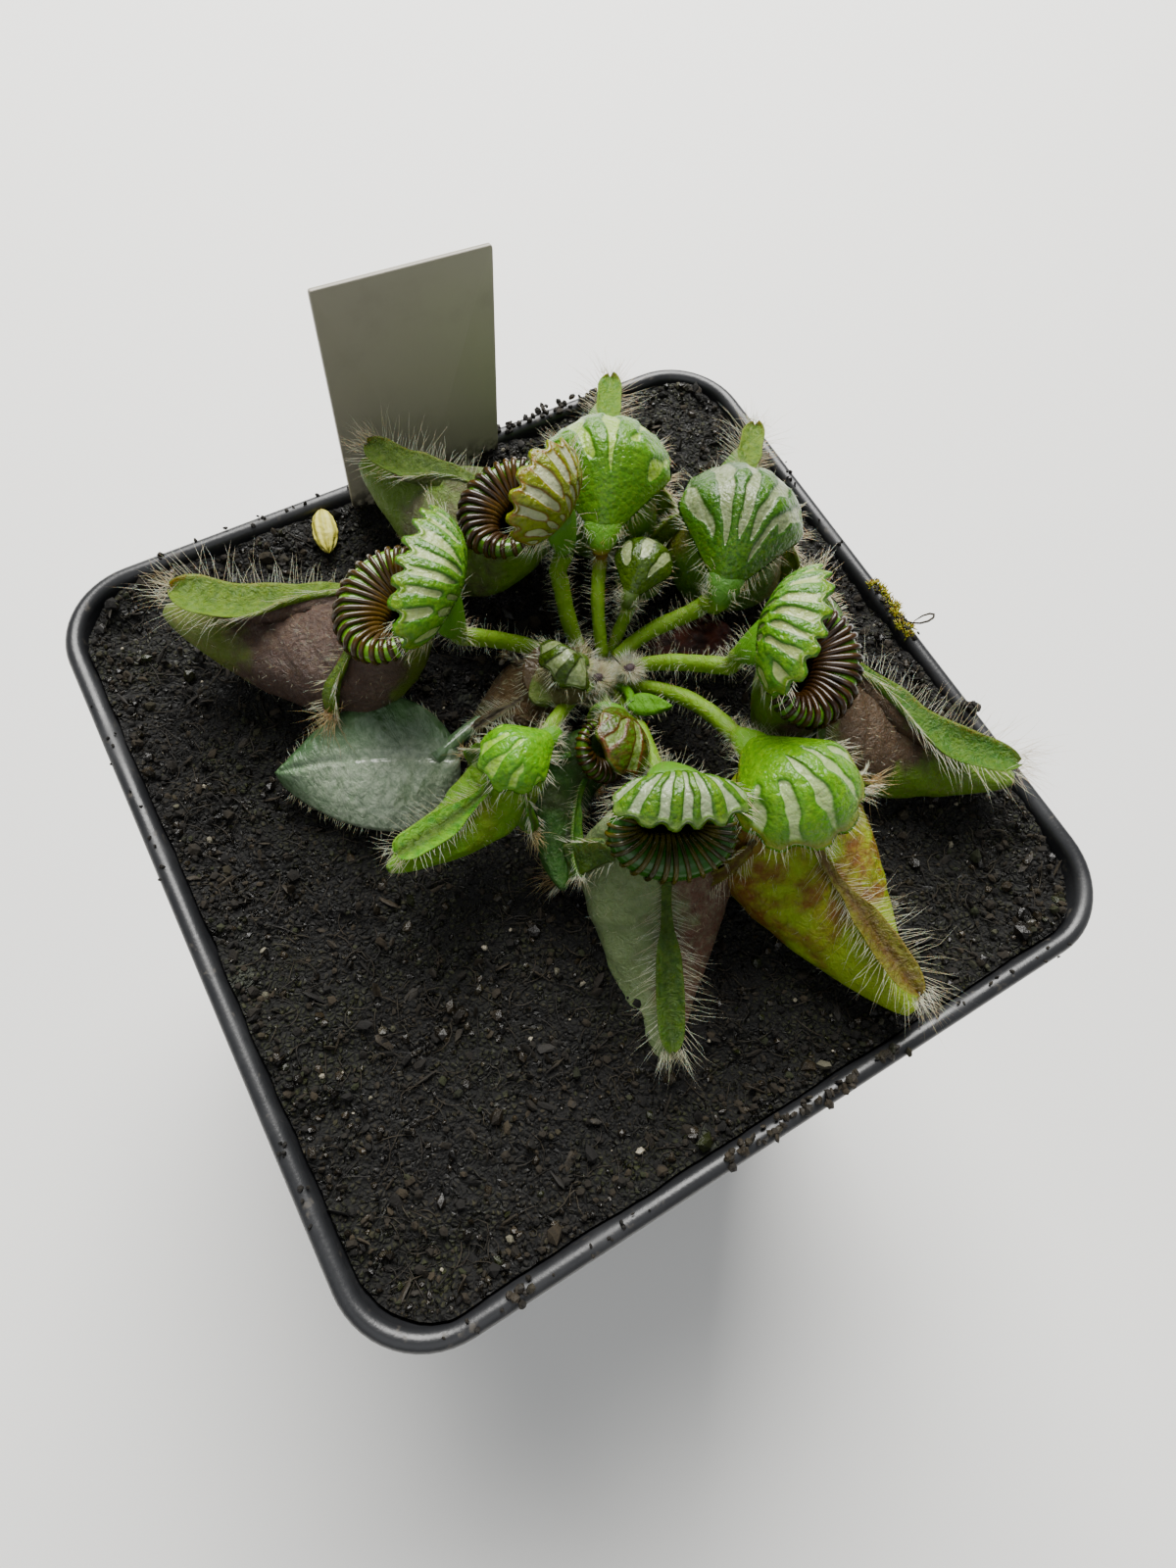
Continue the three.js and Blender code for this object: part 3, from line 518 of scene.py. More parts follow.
def strands(form, paths, radius, tones):
    """Thin three-sided strands along many paths at once, pointed at both ends."""
    steps = paths.shape[1]
    taper = np.sin(np.linspace(0.12, HALF_TURN - 0.12, steps)) ** 0.4
    radius = np.broadcast_to(radius, len(paths))[:, None] * taper
    around = spokes(unit(np.gradient(paths, axis=1)), (0.1, 0.2, 1.0), 3)
    points = paths[:, :, None] + around * radius[..., None, None]
    quads = []
    for i in range(0, 3 * steps - 3, 3):
        quads += [[i, i + 1, i + 4, i + 3], [i + 1, i + 2, i + 5, i + 4], [i + 2, i, i + 3, i + 5]]
    last = 3 * steps - 3
    faces = quads + [[2, 1, 0], [last, last + 1, last + 2]]
    form.copies(points.reshape(len(paths), -1, 3), faces, np.array(tones)[:, None])


def soil_spots(count, inset=0.6, crowd=0.0):
    """Random points on the soil; a share of them, crowd, lies along the pot's walls."""
    half = SOIL_SIDE / 2 - inset
    spots = random.uniform(-half, half, (count, 2))
    edge = random.uniform(0, 1, count) < crowd
    flip = random.integers(0, 2, count)
    wall = half - np.abs(random.normal(0, 1.3, count))
    wall = wall * random.choice((-1, 1), count)
    spots[edge, flip[edge]] = wall[edge]
    corner = half - INNER_CORNER
    over = np.maximum(np.abs(spots) - corner, 0)
    length = np.maximum(np.linalg.norm(over, axis=1, keepdims=True), 1e-9)
    over = over * np.minimum(1, INNER_CORNER / length)
    x, y = (np.sign(spots) * (np.minimum(np.abs(spots), corner) + over)).T
    return stack(x, y, soil_surface(x, y))


def crumb_paint():
    """Loose bits by their tone: 0 black peat, 0.4 brown, 0.6 green with algae, 1 pale grit."""
    paint = Paint("crumbs", 0.7, shine=0.35)
    tone, wet, _ = paint.place()
    clod_crest = paint.noise(3.4, 5, 0.6, bend=1).rise(0.36, 0.56)
    paint.colour(
        (0.004, 0.0034, 0.0026),
        (tone.rise(0.0, 0.45), (0.03, 0.022, 0.011)),
        (tone.rise(0.42, 0.6), (0.016, 0.02, 0.005)),
        (tone.rise(0.7, 1.0), (0.3, 0.27, 0.2)),
        (paint.noise(0.3, 3) * 0.4, (0.004, 0.0035, 0.003)),
        # Painted shade: crumbs are darker where they lie in the peat's hollows, which follow the same
        # noise as its clods.
        ((1 - clod_crest) * 0.7 * (1 - tone.rise(0.6, 0.8)), (0.003, 0.0026, 0.002)),
    )
    paint.roughness(0.92 - wet * 0.7)
    paint.relief(paint.noise(0.15, 3), 0.08)
    return paint


crumbs = Form()
spots = soil_spots(CRUMBS, crowd=0.2)
size = np.clip(random.lognormal(-1.25, 0.42, (CRUMBS, 1)), 0.12, 0.95)
sizes = size * random.uniform(0.55, 1.25, (CRUMBS, 3))
spots[:, 2] += size[:, 0] * random.uniform(-0.1, 0.6, CRUMBS)
tones = random.beta(1.1, 3.2, (CRUMBS, 3))
tones[:, 1] = random.uniform(0, 1, CRUMBS) > DRY_CRUMBS
pale = random.uniform(0, 1, CRUMBS) > DARK_CRUMBS
tones[pale, 0] = 1
sizes[pale] *= 0.6
scatter(crumbs, spots, sizes, tones)
spots = soil_spots(CHIPS) + (0, 0, 0.15)
sizes = stack(random.uniform(0.5, 1.7, CHIPS), random.uniform(0.25, 0.6, CHIPS), 0.16)
scatter(crumbs, spots, sizes, random.uniform(0.05, 0.45, (CHIPS, 3)), 0.2)
soil_bits = crumb_paint()
crumbs.piece("soil_crumbs", soil_bits, "soil", smooth=False)

fibres = Form()
spots = soil_spots(FIBRES, 2)
heading = random.uniform(0, 2 * HALF_TURN, FIBRES)[:, None]
bend = random.normal(0, 0.9, FIBRES)[:, None]
reach = random.uniform(1.2, 4.2, FIBRES)[:, None]
share = np.linspace(-0.5, 0.5, 5)
angle = heading + bend * share
x = np.clip(spots[:, :1] + reach * share * np.cos(angle), -FIBRE_LIMIT, FIBRE_LIMIT)
y = np.clip(spots[:, 1:2] + reach * share * np.sin(angle), -FIBRE_LIMIT, FIBRE_LIMIT)
z = soil_surface(x, y) + 0.1 + 0.35 * random.uniform(0, 1, (FIBRES, 1)) * np.cos(share * 3)
tones = random.uniform(0.1, 0.5, (FIBRES, 3))
strands(fibres, stack(x, y, z), random.uniform(0.035, 0.09, FIBRES), tones)
fibres.piece("soil_fibres", soil_bits, "soil")


# Bits on the rim
# Peat, crumbs of bark and a little moss that lie on the pot's rim, left there by watering
# and by filling. They are loose and only rest on the plastic.


def hairs(form, roots, ways, lengths, width=0.033, sag=0.12):
    """Three-sided hairs that taper to a point. Each runs along its way, halfway up is
    still on it, and then bends a random amount and sags by a share of its length."""
    ways = unit(ways)
    lengths = np.broadcast_to(lengths, len(roots))[:, None]
    stray = random.normal(0, 0.09, roots.shape) - (0, 0, sag)
    middle = roots + ways * lengths * 0.55
    tip = roots + (ways + stray) * lengths
    around = spokes(ways, (0.31, 0.52, 0.8), 3) * width
    points = [roots[:, None] + around, middle[:, None] + around * 0.65, tip[:, None]]
    faces = [[0, 1, 4, 3], [1, 2, 5, 4], [2, 0, 3, 5], [3, 4, 6], [4, 5, 6], [5, 3, 6]]
    form.copies(np.concatenate(points, axis=1), faces)


def hair_paint(name, root, tip):
    """Hairs with a clear pale shaft, a little darker here and there."""
    paint = Paint(name, 0.35, glow=0.3, depth=0.4)
    paint.colour(root, (paint.noise(2.2, 2).rise(0.3, 0.7), tip))
    return paint


debris = Form()
# Where each drift starts and ends, how many crumbs it has, their size and their tone.
drifts = [
    ((-8.2, -43.9), (7.5, -43.9), 60, 0.45, 0.3),
    ((10.4, -43.9), (12.6, -43.9), 14, 0.5, 0.35),
    ((12, 44.1), (28, 44.2), 60, 0.45, 0.18),
    ((-31.5, -43.9), (-29, -44), 9, 0.45, 0.3),
    ((44, -17.9), (44.4, -15.9), 8, 0.7, 0.15),
    ((44.1, -6), (44.1, 3.4), 40, 0.35, 0.25),
    ((-44, -30), (-44, -22), 9, 0.26, 0.1),
    ((-44, 4), (-44, 30), 12, 0.22, 0.1),
    ((-38, -44), (-12, -44), 14, 0.24, 0.15),
    ((16, -44), (36, -44), 12, 0.26, 0.2),
    ((-34, 44), (8, 44), 20, 0.3, 0.1),
    ((44, 8), (44, 34), 12, 0.25, 0.1),
]
for start, end, count, size, tone in drifts:
    share = random.uniform(0, 1, (count, 1))
    spots = start + np.subtract(end, start) * share + random.normal(0, 0.42, (count, 2))
    spots = stack(*spots.T, POT_HEIGHT + random.uniform(-0.1, size * 0.7, count))
    sizes = size * random.uniform(0.4, 1.25, (count, 3))
    scatter(debris, spots, sizes, random.uniform(tone * 0.5, tone * 1.6, (count, 3)))
share = np.linspace(0, 1, 9)
turn = 4.4 * share
curl = stack(2.4 * np.sin(turn), 1.9 * share + 1.2 * np.cos(turn), 1.6 * share) + (45.2, -5.4, 90.3)
strands(debris, curl[None], 0.16, [(0.4, 0, 0)])
debris.piece("rim_debris", soil_bits, "soil", smooth=False)

moss = Form()
for clump in stack(random.normal(44.1, 0.4, 11), np.linspace(-5.2, 2.6, 11), 89.9):
    roots = clump + random.normal(0, 0.25, (26, 3)) * (1, 1, 0.3)
    ways = random.normal(0, 0.55, (26, 3)) + (0, 0, 1)
    hairs(moss, roots, ways, random.uniform(0.5, 1.15, 26), 0.13, 0)
paint = Paint("moss", 0.6, glow=0.2, depth=0.5)
paint.colour("5d6a12", (paint.noise(0.9, 3), "b9b83a"))
moss.piece("rim_moss", paint, "soil")


# Crown
# The plant's growing point at the soil, a squat cushion matted with short white hairs.
# Two leaf buds stand on it, each with a dark tip between the hairs.

CROWN = np.array((7.0, 6.0, POT_HEIGHT))
CROWN_RADIUS = 4
CROWN_HEIGHT = 3.6
BUDS = ((-2.0, -1.0), (1.8, -1.6))
BUD_SIZE = np.array((1.0, 0.8, 1.2))


def dome(centre, radii):
    """The upper part and waist of an ellipsoid, from just under its equator to its top."""
    angle = np.linspace(-0.5, HALF_TURN / 2 - 0.02, 18)[:, None]
    turn = circle(28)
    shape = stack(np.cos(angle) * np.cos(turn), np.cos(angle) * np.sin(turn), np.sin(angle))
    return shape * radii + centre


def on_dome(count, centre, radii):
    """Random points on the dome with their outward ways."""
    ways = unit(random.normal(0, 1, (count, 3)))
    ways[:, 2] = np.abs(ways[:, 2])
    return ways * radii + centre, unit(ways / radii)


crown = Form()
foot = CROWN - (0, 0, 1.5)
cushion = np.array((CROWN_RADIUS * 0.85, CROWN_RADIUS * 0.7, CROWN_HEIGHT + 0.9))
waist = dome(foot, cushion)
crown.grid(np.concatenate([waist[:1] - (0, 0, 3), waist]))
buds = [CROWN + (*bud, CROWN_HEIGHT) for bud in BUDS]
for centre in buds:
    crown.grid(dome(centre, BUD_SIZE), (1, 0, 0))
paint = Paint("crown_skin", 0.6, glow=0.2)
on_bud, _, _ = paint.place()
bud_tip = on_bud * paint.height().rise(POT_HEIGHT + 4.1, POT_HEIGHT + 4.5)
paint.colour("66743a", (paint.noise(0.8, 4), "a3a678"), (bud_tip, "352529"))
paint.relief(paint.noise(0.4, 4), 0.2)
crown.piece("crown_cushion", paint, "crown", "crown")

crown_wool = Form()
roots, ways = on_dome(1000, foot, cushion)
hairs(crown_wool, roots, ways + random.normal(0, 0.4, ways.shape), 1.2, 0.022)
for centre in buds:
    roots, ways = on_dome(460, centre, BUD_SIZE)
    around = roots[:, 2] < centre[2] + 1.0
    count = around.sum()
    ways = unit(ways[around] * (1, 1, 0.5)) + (0, 0, 0.35) + random.normal(0, 0.12, (count, 3))
    hairs(crown_wool, roots[around], ways, random.uniform(1.0, 2.2, count), 0.026, 0.03)
white_hair = hair_paint("white_hair", "bcb396", "f0ead6")
crown_wool.piece("crown_wool", white_hair, "crown")


# Pitchers
# Twelve leaves in the shape of a moccasin, grown round the crown on green stalks. All but
# the two youngest have a broad wing down the front of the cup and one on each flank,
# fringed with stiff hairs.

MOUTH_TILT = math.radians(18)
TIP_TURN = math.radians(100)
CUP_CURVE = np.array(((0, 0), (0, -0.3), (0.22, -0.56), (0.94, -0.34)))
CUP_WALL = 1
FULL_LENGTH = 25
FULL_WIDTH = 5.6
STALK_HAIRS = 320
STRIP_HAIRS = 66
STRIP_END_HAIRS = 46
FIN_HAIRS = 64
TUFT_HAIRS = 58
CUP_HAIRS = 150
PUCKER_HEIGHT = 0.168
STALK_POINTS = 44
STALK_CUT = 12
NECK_POINTS = 26
WINGED_LENGTH = 10
LARGE_LENGTH = 20
OPEN = dict(
    half_width=FULL_WIDTH, half_depth=4.4, bulge=3, belly=3.6, length=FULL_LENGTH, opened=78,
    shut=False, margin=1.9, lid=0, twist=0, pitch=0, roll=0, stem=1, tip=0.62, blush=1, lean=0,
    sheen=0.15, orange=0, cleft=0.1, wrinkle=1.5, broad=1, fin=1, flap=1, hang=0, peak=0,
    crumple=0.16,
)
SHUT = OPEN | dict(bulge=2, opened=12, length=22, shut=True)
SMALL = SHUT | dict(bulge=1.4, belly=1, half_width=3.6, half_depth=3.2, length=14)
YOUNG = SHUT | dict(bulge=0.5, belly=0.5, half_width=2.4, half_depth=1.9, length=7)
SLOTS = {part["node"]: part["material_slot"] for part in frame["record"]["subparts"]}


def rotation(*turns):
    """A rotation matrix from degrees and axes; the last turn is done first."""
    made = Matrix.Identity(3)
    for degrees, axis in turns:
        made = made @ Matrix.Rotation(math.radians(degrees), 3, axis)
    return np.array(made)


def over_rim(point):
    """A point given by x, y and its height over the pot's rim."""
    return np.array(point, float) + (0, 0, POT_HEIGHT)


def bezier(knots, t):
    """Points of a Bezier curve of any order at the shares t of its parameter."""
    t = np.asarray(t, float)[..., None]
    order = len(knots) - 1
    return sum(
        math.comb(order, i) * (1 - t) ** (order - i) * t**i * knot for i, knot in enumerate(knots)
    )


class Pitcher:
    """One pitcher leaf. In its own frame the middle of the mouth is the origin, +X points
    away from the crown, +Y across and +Z up. Lengths are millimetres, angles degrees. Stalk
    holds where its stalk starts, the point it rises to and the way it joins from. Kind and
    changes are its sizes and looks: opened is the lid's angle, margin how far the lid
    reaches past the mouth, lid what is added to its length, stem the stalk's thickness;
    fin, flap and hang are the side wings' height, rim and droop, broad the strip's width."""

    def __init__(self, name, mouth, azimuth, stalk, kind, **changes):
        vars(self).update(kind | changes)
        self.name = name
        self.start, self.rise, self.join = stalk
        self.lipped = not self.shut or self.lid > 0
        self.lid_long = self.half_depth + (0.3 if self.lipped else self.margin) + self.lid
        self.lid_wide = self.half_width + self.margin
        self.opened = math.radians(self.opened)
        self.twist = math.radians(self.twist)
        self.size = self.length / FULL_LENGTH
        self.place = over_rim(mouth)
        self.turn = rotation((azimuth, "Z"), (self.pitch, "Y"), (self.roll, "X"))

    def world(self, points):
        """Points of the leaf's own frame in the part's frame; ways does so for vectors."""
        return points @ self.turn.T + self.place

    def ways(self, vectors):
        return vectors @ self.turn.T

    def section(self, v):
        """The section at v, from 0 at the mouth to 1 at the tip: its middle on a Bezier
        curve, its front and the way on, as x and z. It turns evenly along the leaf."""
        turn = -MOUTH_TILT + (TIP_TURN + MOUTH_TILT) * v
        middle = bezier(CUP_CURVE * self.length, v)
        return middle, stack(np.cos(turn), np.sin(turn)), stack(np.sin(turn), -np.cos(turn))

    def skin(self, v, angle, grow=0):
        """The cup's surface: an ellipse at each v that swells by a sine and closes at the
        tip by the root of 1 - v^3.2; angle is measured from the front."""
        v, angle = np.broadcast_arrays(v, angle)
        middle, front, _ = self.section(v)
        taper = np.sqrt(np.maximum(0, 1 - v**3.2))
        swell = np.sin(HALF_TURN * v)
        belly = self.belly * (0.35 + 0.65 * smooth_step(np.cos(angle), -0.7, 0.2))
        width = (self.half_width + self.bulge * swell) * taper + grow
        depth = (self.half_depth + belly * swell) * taper + grow
        reach = middle + front * (np.cos(angle) * depth)[..., None]
        return stack(reach[..., 0], np.sin(angle) * width, reach[..., 1])

    def outward(self, v, angle):
        """The way straight out of the cup's surface."""
        return unit(self.skin(v, angle, 0.5) - self.skin(v, angle, -0.5))

    def turned(self, v):
        """How far the wings stand round the body from their usual place: all of the twist
        under the lip and nothing at the tip."""
        return self.twist * (1 - smooth_step(v, 0.1, 0.75))

    def over_mouth(self, x, y, z):
        """A point by its place in the mouth's plane, x outwards and y across, and its
        height z over it."""
        c = math.cos(MOUTH_TILT)
        s = math.sin(MOUTH_TILT)
        return stack(x * c + z * s, y, z * c - x * s)

    def over_lid(self, x, y, z):
        """A point by its place over the lid's base, x from the middle away from the hinge,
        y across and z up into the dome."""
        c = math.cos(self.opened)
        s = math.sin(self.opened)
        along = x + self.lid_long
        back, lift = (2.1, 2.2) if self.lipped else (0.6, 0.6)
        x = along * c - z * s - self.half_depth - back
        return self.over_mouth(x, y, along * s + z * c + lift)


def cup(leaf, form):
    """The cup from its tip up the outside to the mouth and, in an open pitcher, down the
    inside again. Low puckers run over the outside where the wall is thin."""
    angle = circle(72, -HALF_TURN)
    v = (1 - np.linspace(0.02, 1, 50) ** 1.35)[:, None]
    x = np.cos(angle) * leaf.half_width
    y = np.sin(angle) * leaf.half_width + v * leaf.length
    pucker = lattice(x + 0.6 * v * leaf.length, y, 2.6, 11) + lattice(x + 9, y, 1.1, 12)
    fade = smooth_step(v, 0.0, 0.2) * smooth_step(1 - v, 0.0, 0.15)
    rows = [leaf.skin(v, angle) + leaf.outward(v, angle) * (PUCKER_HEIGHT * pucker * fade)[..., None]]
    places = [stack(angle, v, 0.0)]
    if not leaf.shut:
        v = np.linspace(0, 0.86, 22)[:, None]
        rows.append(leaf.skin(v, angle, -CUP_WALL))
        places.append(stack(angle, v, 1.0))
    form.grid(leaf.world(np.concatenate(rows)), np.concatenate(places))


def tube(form, path, radii, sides, place):
    """A round tube of changing radius along a path of points."""
    around = spokes(unit(np.gradient(path, axis=0)), (0.05, 0.03, 1.0), sides)
    radii = np.broadcast_to(radii, len(path))[:, None, None]
    form.grid(path[:, None] + around * radii, place)


def sweep(path, *moves):
    """A grid of points: each point of the path moved along its ways by amounts that have a
    row for each point and a column for each place across."""
    points = path[:, None]
    for ways, amounts in moves:
        points = points + ways[:, None] * amounts[..., None]
    return points


def stalk_foot(start, rise):
    """The first two knots of a stalk: its root, by angle and height at the crown, and the
    point it rises to."""
    turn = math.radians(start[0])
    return [CROWN + (2 * math.cos(turn), 2 * math.sin(turn), start[1]), over_rim(rise)]


def stalk(leaf, form, fringe):
    """The stalk, a tube with short hairs all over it, from the crown to the back of the
    mouth. It ends in the neck, a flat funnel that carries the lid: a broad one behind an
    open mouth, and a narrow one that runs in under the drawn-out back of a shut lid."""
    long = leaf.lid_long
    wide = leaf.lid_wide
    if leaf.lipped:
        back = -leaf.half_depth - 2.4
        end_wide, end_deep = 0.42 * wide, 0.9
        knots = [leaf.over_mouth(back, 0, -3), leaf.over_mouth(back, 0, 0)]
        knots.append(leaf.over_lid(-0.75 * long, 0, 0.3))
    else:
        end_wide, end_deep = 0.32 * wide, 0.2 * wide
        line = ((-1.66, -0.7), (-1.36, -0.46), (-0.85, -0.28))
        knots = [leaf.over_lid(x * long, 0, z * wide) for x, z in line]
    end = leaf.world(leaf.skin(0.07, HALF_TURN, -0.7))
    path = [*stalk_foot(leaf.start, leaf.rise), end + leaf.join, end]
    path = bezier(path, np.linspace(0, 1, STALK_POINTS))[:-STALK_CUT]
    bend = [path[-1], path[-1] * 3 - path[-3] * 2, *map(leaf.world, knots)]
    ahead = np.linspace(0, 1, NECK_POINTS)
    flare = smooth_step(np.concatenate([np.zeros(len(path) - 1), ahead]), 0.42, 0.96)
    path = np.concatenate([path, bezier(bend, ahead)[1:]])
    share = np.linspace(0, 1, len(path))
    radii = (0.86 + 0.2 * share) * leaf.stem + 0.05 * lattice(share * 30, share * 0, 1, 13)
    tangent = unit(np.gradient(path, axis=0))
    level = unit(np.cross(tangent, (0.05, 0.03, 1.0)))
    across = leaf.turn[:, 1]
    across = np.where((level @ across < 0)[:, None], -across, across)
    turned = smooth_step(flare, 0, 0.2)[:, None]
    side = unit(level * (1 - turned) + across * turned)
    side = unit(side - tangent * (side * tangent).sum(-1, keepdims=True))
    other = np.cross(tangent, side)
    round_off = np.sqrt(np.clip(1 - ((share - 0.95) / 0.051).clip(0, 1) ** 2, 0.03, 1))
    half = ((radii + (end_wide - radii) * flare) * round_off)[:, None]
    deep = ((radii + (end_deep - radii) * flare) * round_off)[:, None]
    turn = circle(24)
    rings = sweep(path, (side, half * np.cos(turn)), (other, deep * np.sin(turn)))
    form.grid(rings, stack(flare[:, None], share[:, None], np.full(24, 3.0)))
    pick = random.integers(2, len(path) - 3, int(STALK_HAIRS * leaf.stem))
    angle = random.uniform(0, 2 * HALF_TURN, (len(pick), 1))
    across, over = side[pick] * np.cos(angle), other[pick] * np.sin(angle)
    roots = path[pick] + across * half[pick] + over * deep[pick]
    roots = roots + tangent[pick] * random.uniform(-0.3, 0.3, (len(pick), 1))
    ways = unit(across * deep[pick] + over * half[pick]) + tangent[pick] * 0.2
    ways = ways + random.normal(0, 0.16, roots.shape)
    reach = random.uniform(0.5, 1.9, len(pick)) * (1 + 0.4 * flare[pick])
    hairs(fringe, roots, ways, reach, 0.017, 0.04)


def strip(leaf, form, fringe):
    """The wing down the front: a thin web that carries a strip, narrow under the lip and
    broad towards its round outer end, with raised edges and a groove down its middle."""
    size = leaf.size
    t = 1 - (1 - np.linspace(0, 1, 64)) ** 1.4
    v = 0.1 + 0.76 * t
    _, front, along = leaf.section(v)
    angle = leaf.turned(v)
    up = stack(front[:, 0] * np.cos(angle), np.sin(angle), front[:, 1] * np.cos(angle))
    ahead = stack(along[:, 0], 0, along[:, 1])
    across = np.cross(ahead, up)
    foot = leaf.skin(v, angle, -0.5)
    tall = (0.55 + 2.7 * t) * size + 0.5
    tip = 4.4 * size * t**3
    head = foot + up * tall[:, None] + ahead * tip[:, None]
    tongue = np.sqrt(np.clip(1 - (np.maximum(0, t - 0.91) / 0.0905) ** 2.2, 0.02, 1))
    half = (0.75 + 1.3 * smooth_step(t, 0.2, 0.75)) * size * tongue * leaf.broad
    half = np.maximum(half * (1 + 0.07 * lattice(t * 9, t * 0 + leaf.length, 1, 14)), 0.35)
    s = np.concatenate([np.linspace(1, -1, 17), np.linspace(-1, 1, 15)[1:-1]])
    ripple = 0.16 * size * np.sin(t[:, None] * 19 + np.sign(s) * 1.3) * s**4
    bowl = (0.6 * s**2 - 0.5 * leaf.cleft * np.exp(-((s / 0.24) ** 2)) - 0.2) * size
    bowl = bowl * smooth_step(t, 0.05, 0.4)[:, None] + ripple
    thick = np.where(np.arange(len(s)) < 17, 0, 0.28 + 0.4 * (1 - s**2))
    points = sweep(head, (across, s * half[:, None]), (up, bowl - thick))
    form.grid(leaf.world(points), stack(s, t[:, None], 4.0))
    levels = np.array((0, 0.55, 1, 1, 0.55, 0))
    sides = np.array((0.42, 0.3, 0.3, -0.3, -0.3, -0.42))
    high = (tall - (0.35 + 0.5 * leaf.cleft) * size)[:, None] * levels
    web = sweep(foot, (across, sides), (up, high), (ahead, tip[:, None] * levels * 0.96))
    form.grid(leaf.world(web), (0, 0.4, 0))
    count = int(STRIP_HAIRS * size)
    for side in (-1, 1):
        pick = np.linspace(2, len(t) - 1, count) + random.uniform(-0.5, 0.5, count)
        pick = np.clip(pick, 0, len(t) - 1)
        at = lambda rows: np.stack([np.interp(pick, np.arange(len(t)), r) for r in rows.T], -1)
        edge = at(head + across * (side * half)[:, None]) + at(up) * 0.3 * size
        spread = smooth_step(pick / len(t), 0.75, 1)[:, None]
        ways = at(across) * side * (0.95 - 0.5 * spread) + at(up) * 0.45
        ways = ways + at(ahead) * (0.2 + spread) + random.normal(0, 0.19, ways.shape)
        reach = random.uniform(0.35, 1.3, count) * (2.9 + 1.5 * pick / len(t)) * size
        hairs(fringe, leaf.world(edge), leaf.ways(ways), np.maximum(reach, 0.8), 0.02, 0.06)
    count = int(STRIP_END_HAIRS * size)
    ways = at(ahead)[-1] + random.normal(0, 0.5, (count, 3))
    end = head[-1] + random.uniform(-1, 1, (count, 3)) * (0.3, half[-8], 0.3)
    reach = random.uniform(1.6, 3.8, count) * size
    hairs(fringe, leaf.world(end), leaf.ways(ways), reach, 0.022, 0.06)


def fin(leaf, form, fringe, tuft, side):
    """The wing on one flank: a low web under a narrow flat rim that broadens towards its
    lower end, with a hairy edge and a tuft of long tan hairs at the end. Its free edge may
    hang towards the leaf's tip, and on the side that a twist turns away it is short and
    tall."""
    size = leaf.size
    t = np.linspace(0, 1, 30)
    far = side * leaf.twist > 0
    v = 0.05 + (0.24 if far else 0.4) * t
    angle = side * np.radians(62 + 34 * t) + (0 if far else 0.6) * leaf.turned(v)
    foot = leaf.skin(v, angle, -0.6)
    out = leaf.outward(v, angle)
    step = unit(np.gradient(foot, axis=0))
    across = unit(np.cross(step, out))
    tall = (1.3 + 1.7 * t) * size * (1.7 if far else leaf.fin) + 0.6
    tall = tall * np.sqrt(np.clip(1 - np.maximum(0, (t - 0.8) / 0.26) ** 2, 0.05, 1))
    rim = (0.5 + 0.55 * t) * size * np.sqrt(np.clip(1 - t**6, 0.05, 1)) * leaf.flap
    levels = np.array((0, 0.5, 0.8, 1.0, 1.0, 0.9, 1.0, 1.0, 0.8, 0.5, 0))
    wide = np.array((0.4, 0.3, 0.3, 0.95, 0.8, 0, -0.8, -0.95, -0.3, -0.3, -0.4))
    drop = np.array((0, 0, 0, 0.3, 0, 0.1, 0, 0.3, 0, 0, 0)) * size
    spread = np.where(np.abs(wide) > 0.5, wide * rim[:, None], wide * 0.9)
    spread = spread + 0.22 * np.sin(t * 9 + leaf.length)[:, None] * levels**2 * size
    hang = step * (leaf.hang * t * tall)[:, None]
    moves = (out, tall[:, None] * levels - drop), (across, spread), (hang, levels)
    form.grid(leaf.world(sweep(foot, *moves)), stack(wide, t[:, None], 4.0), turned=True)
    edge = foot + out * tall[:, None] + hang
    count = int(FIN_HAIRS * size)
    pick = random.integers(0, len(t), count)
    lean = random.choice((-1, 1), (count, 1)) * random.uniform(0.3, 1.1, (count, 1))
    ways = out[pick] * 0.7 + across[pick] * lean + step[pick] * 0.3
    roots = edge[pick] + across[pick] * np.sign(lean) * rim[pick, None] * 0.9
    hairs(fringe, leaf.world(roots), leaf.ways(ways), random.uniform(0.9, 2.2, count) * size)
    count = int(TUFT_HAIRS * size)
    ways = out[-3] + step[-3] * 0.6 + random.normal(0, 0.85, (count, 3))
    roots = edge[-4] + random.normal(0, 0.35, (count, 3)) * size
    hairs(tuft, leaf.world(roots), leaf.ways(ways), random.uniform(1.8, 4.6, count) * size)


def down(leaf, fringe):
    """Fine short hairs scattered over the cup."""
    count = int(CUP_HAIRS * leaf.size)
    v = random.uniform(0.05, 0.93, count)
    angle = random.uniform(-2.3, 2.3, count)
    ways = leaf.outward(v, angle) + random.normal(0, 0.35, (count, 3))
    reach = random.uniform(0.35, 1.1, count)
    hairs(fringe, leaf.world(leaf.skin(v, angle)), leaf.ways(ways), reach, 0.018, 0.05)


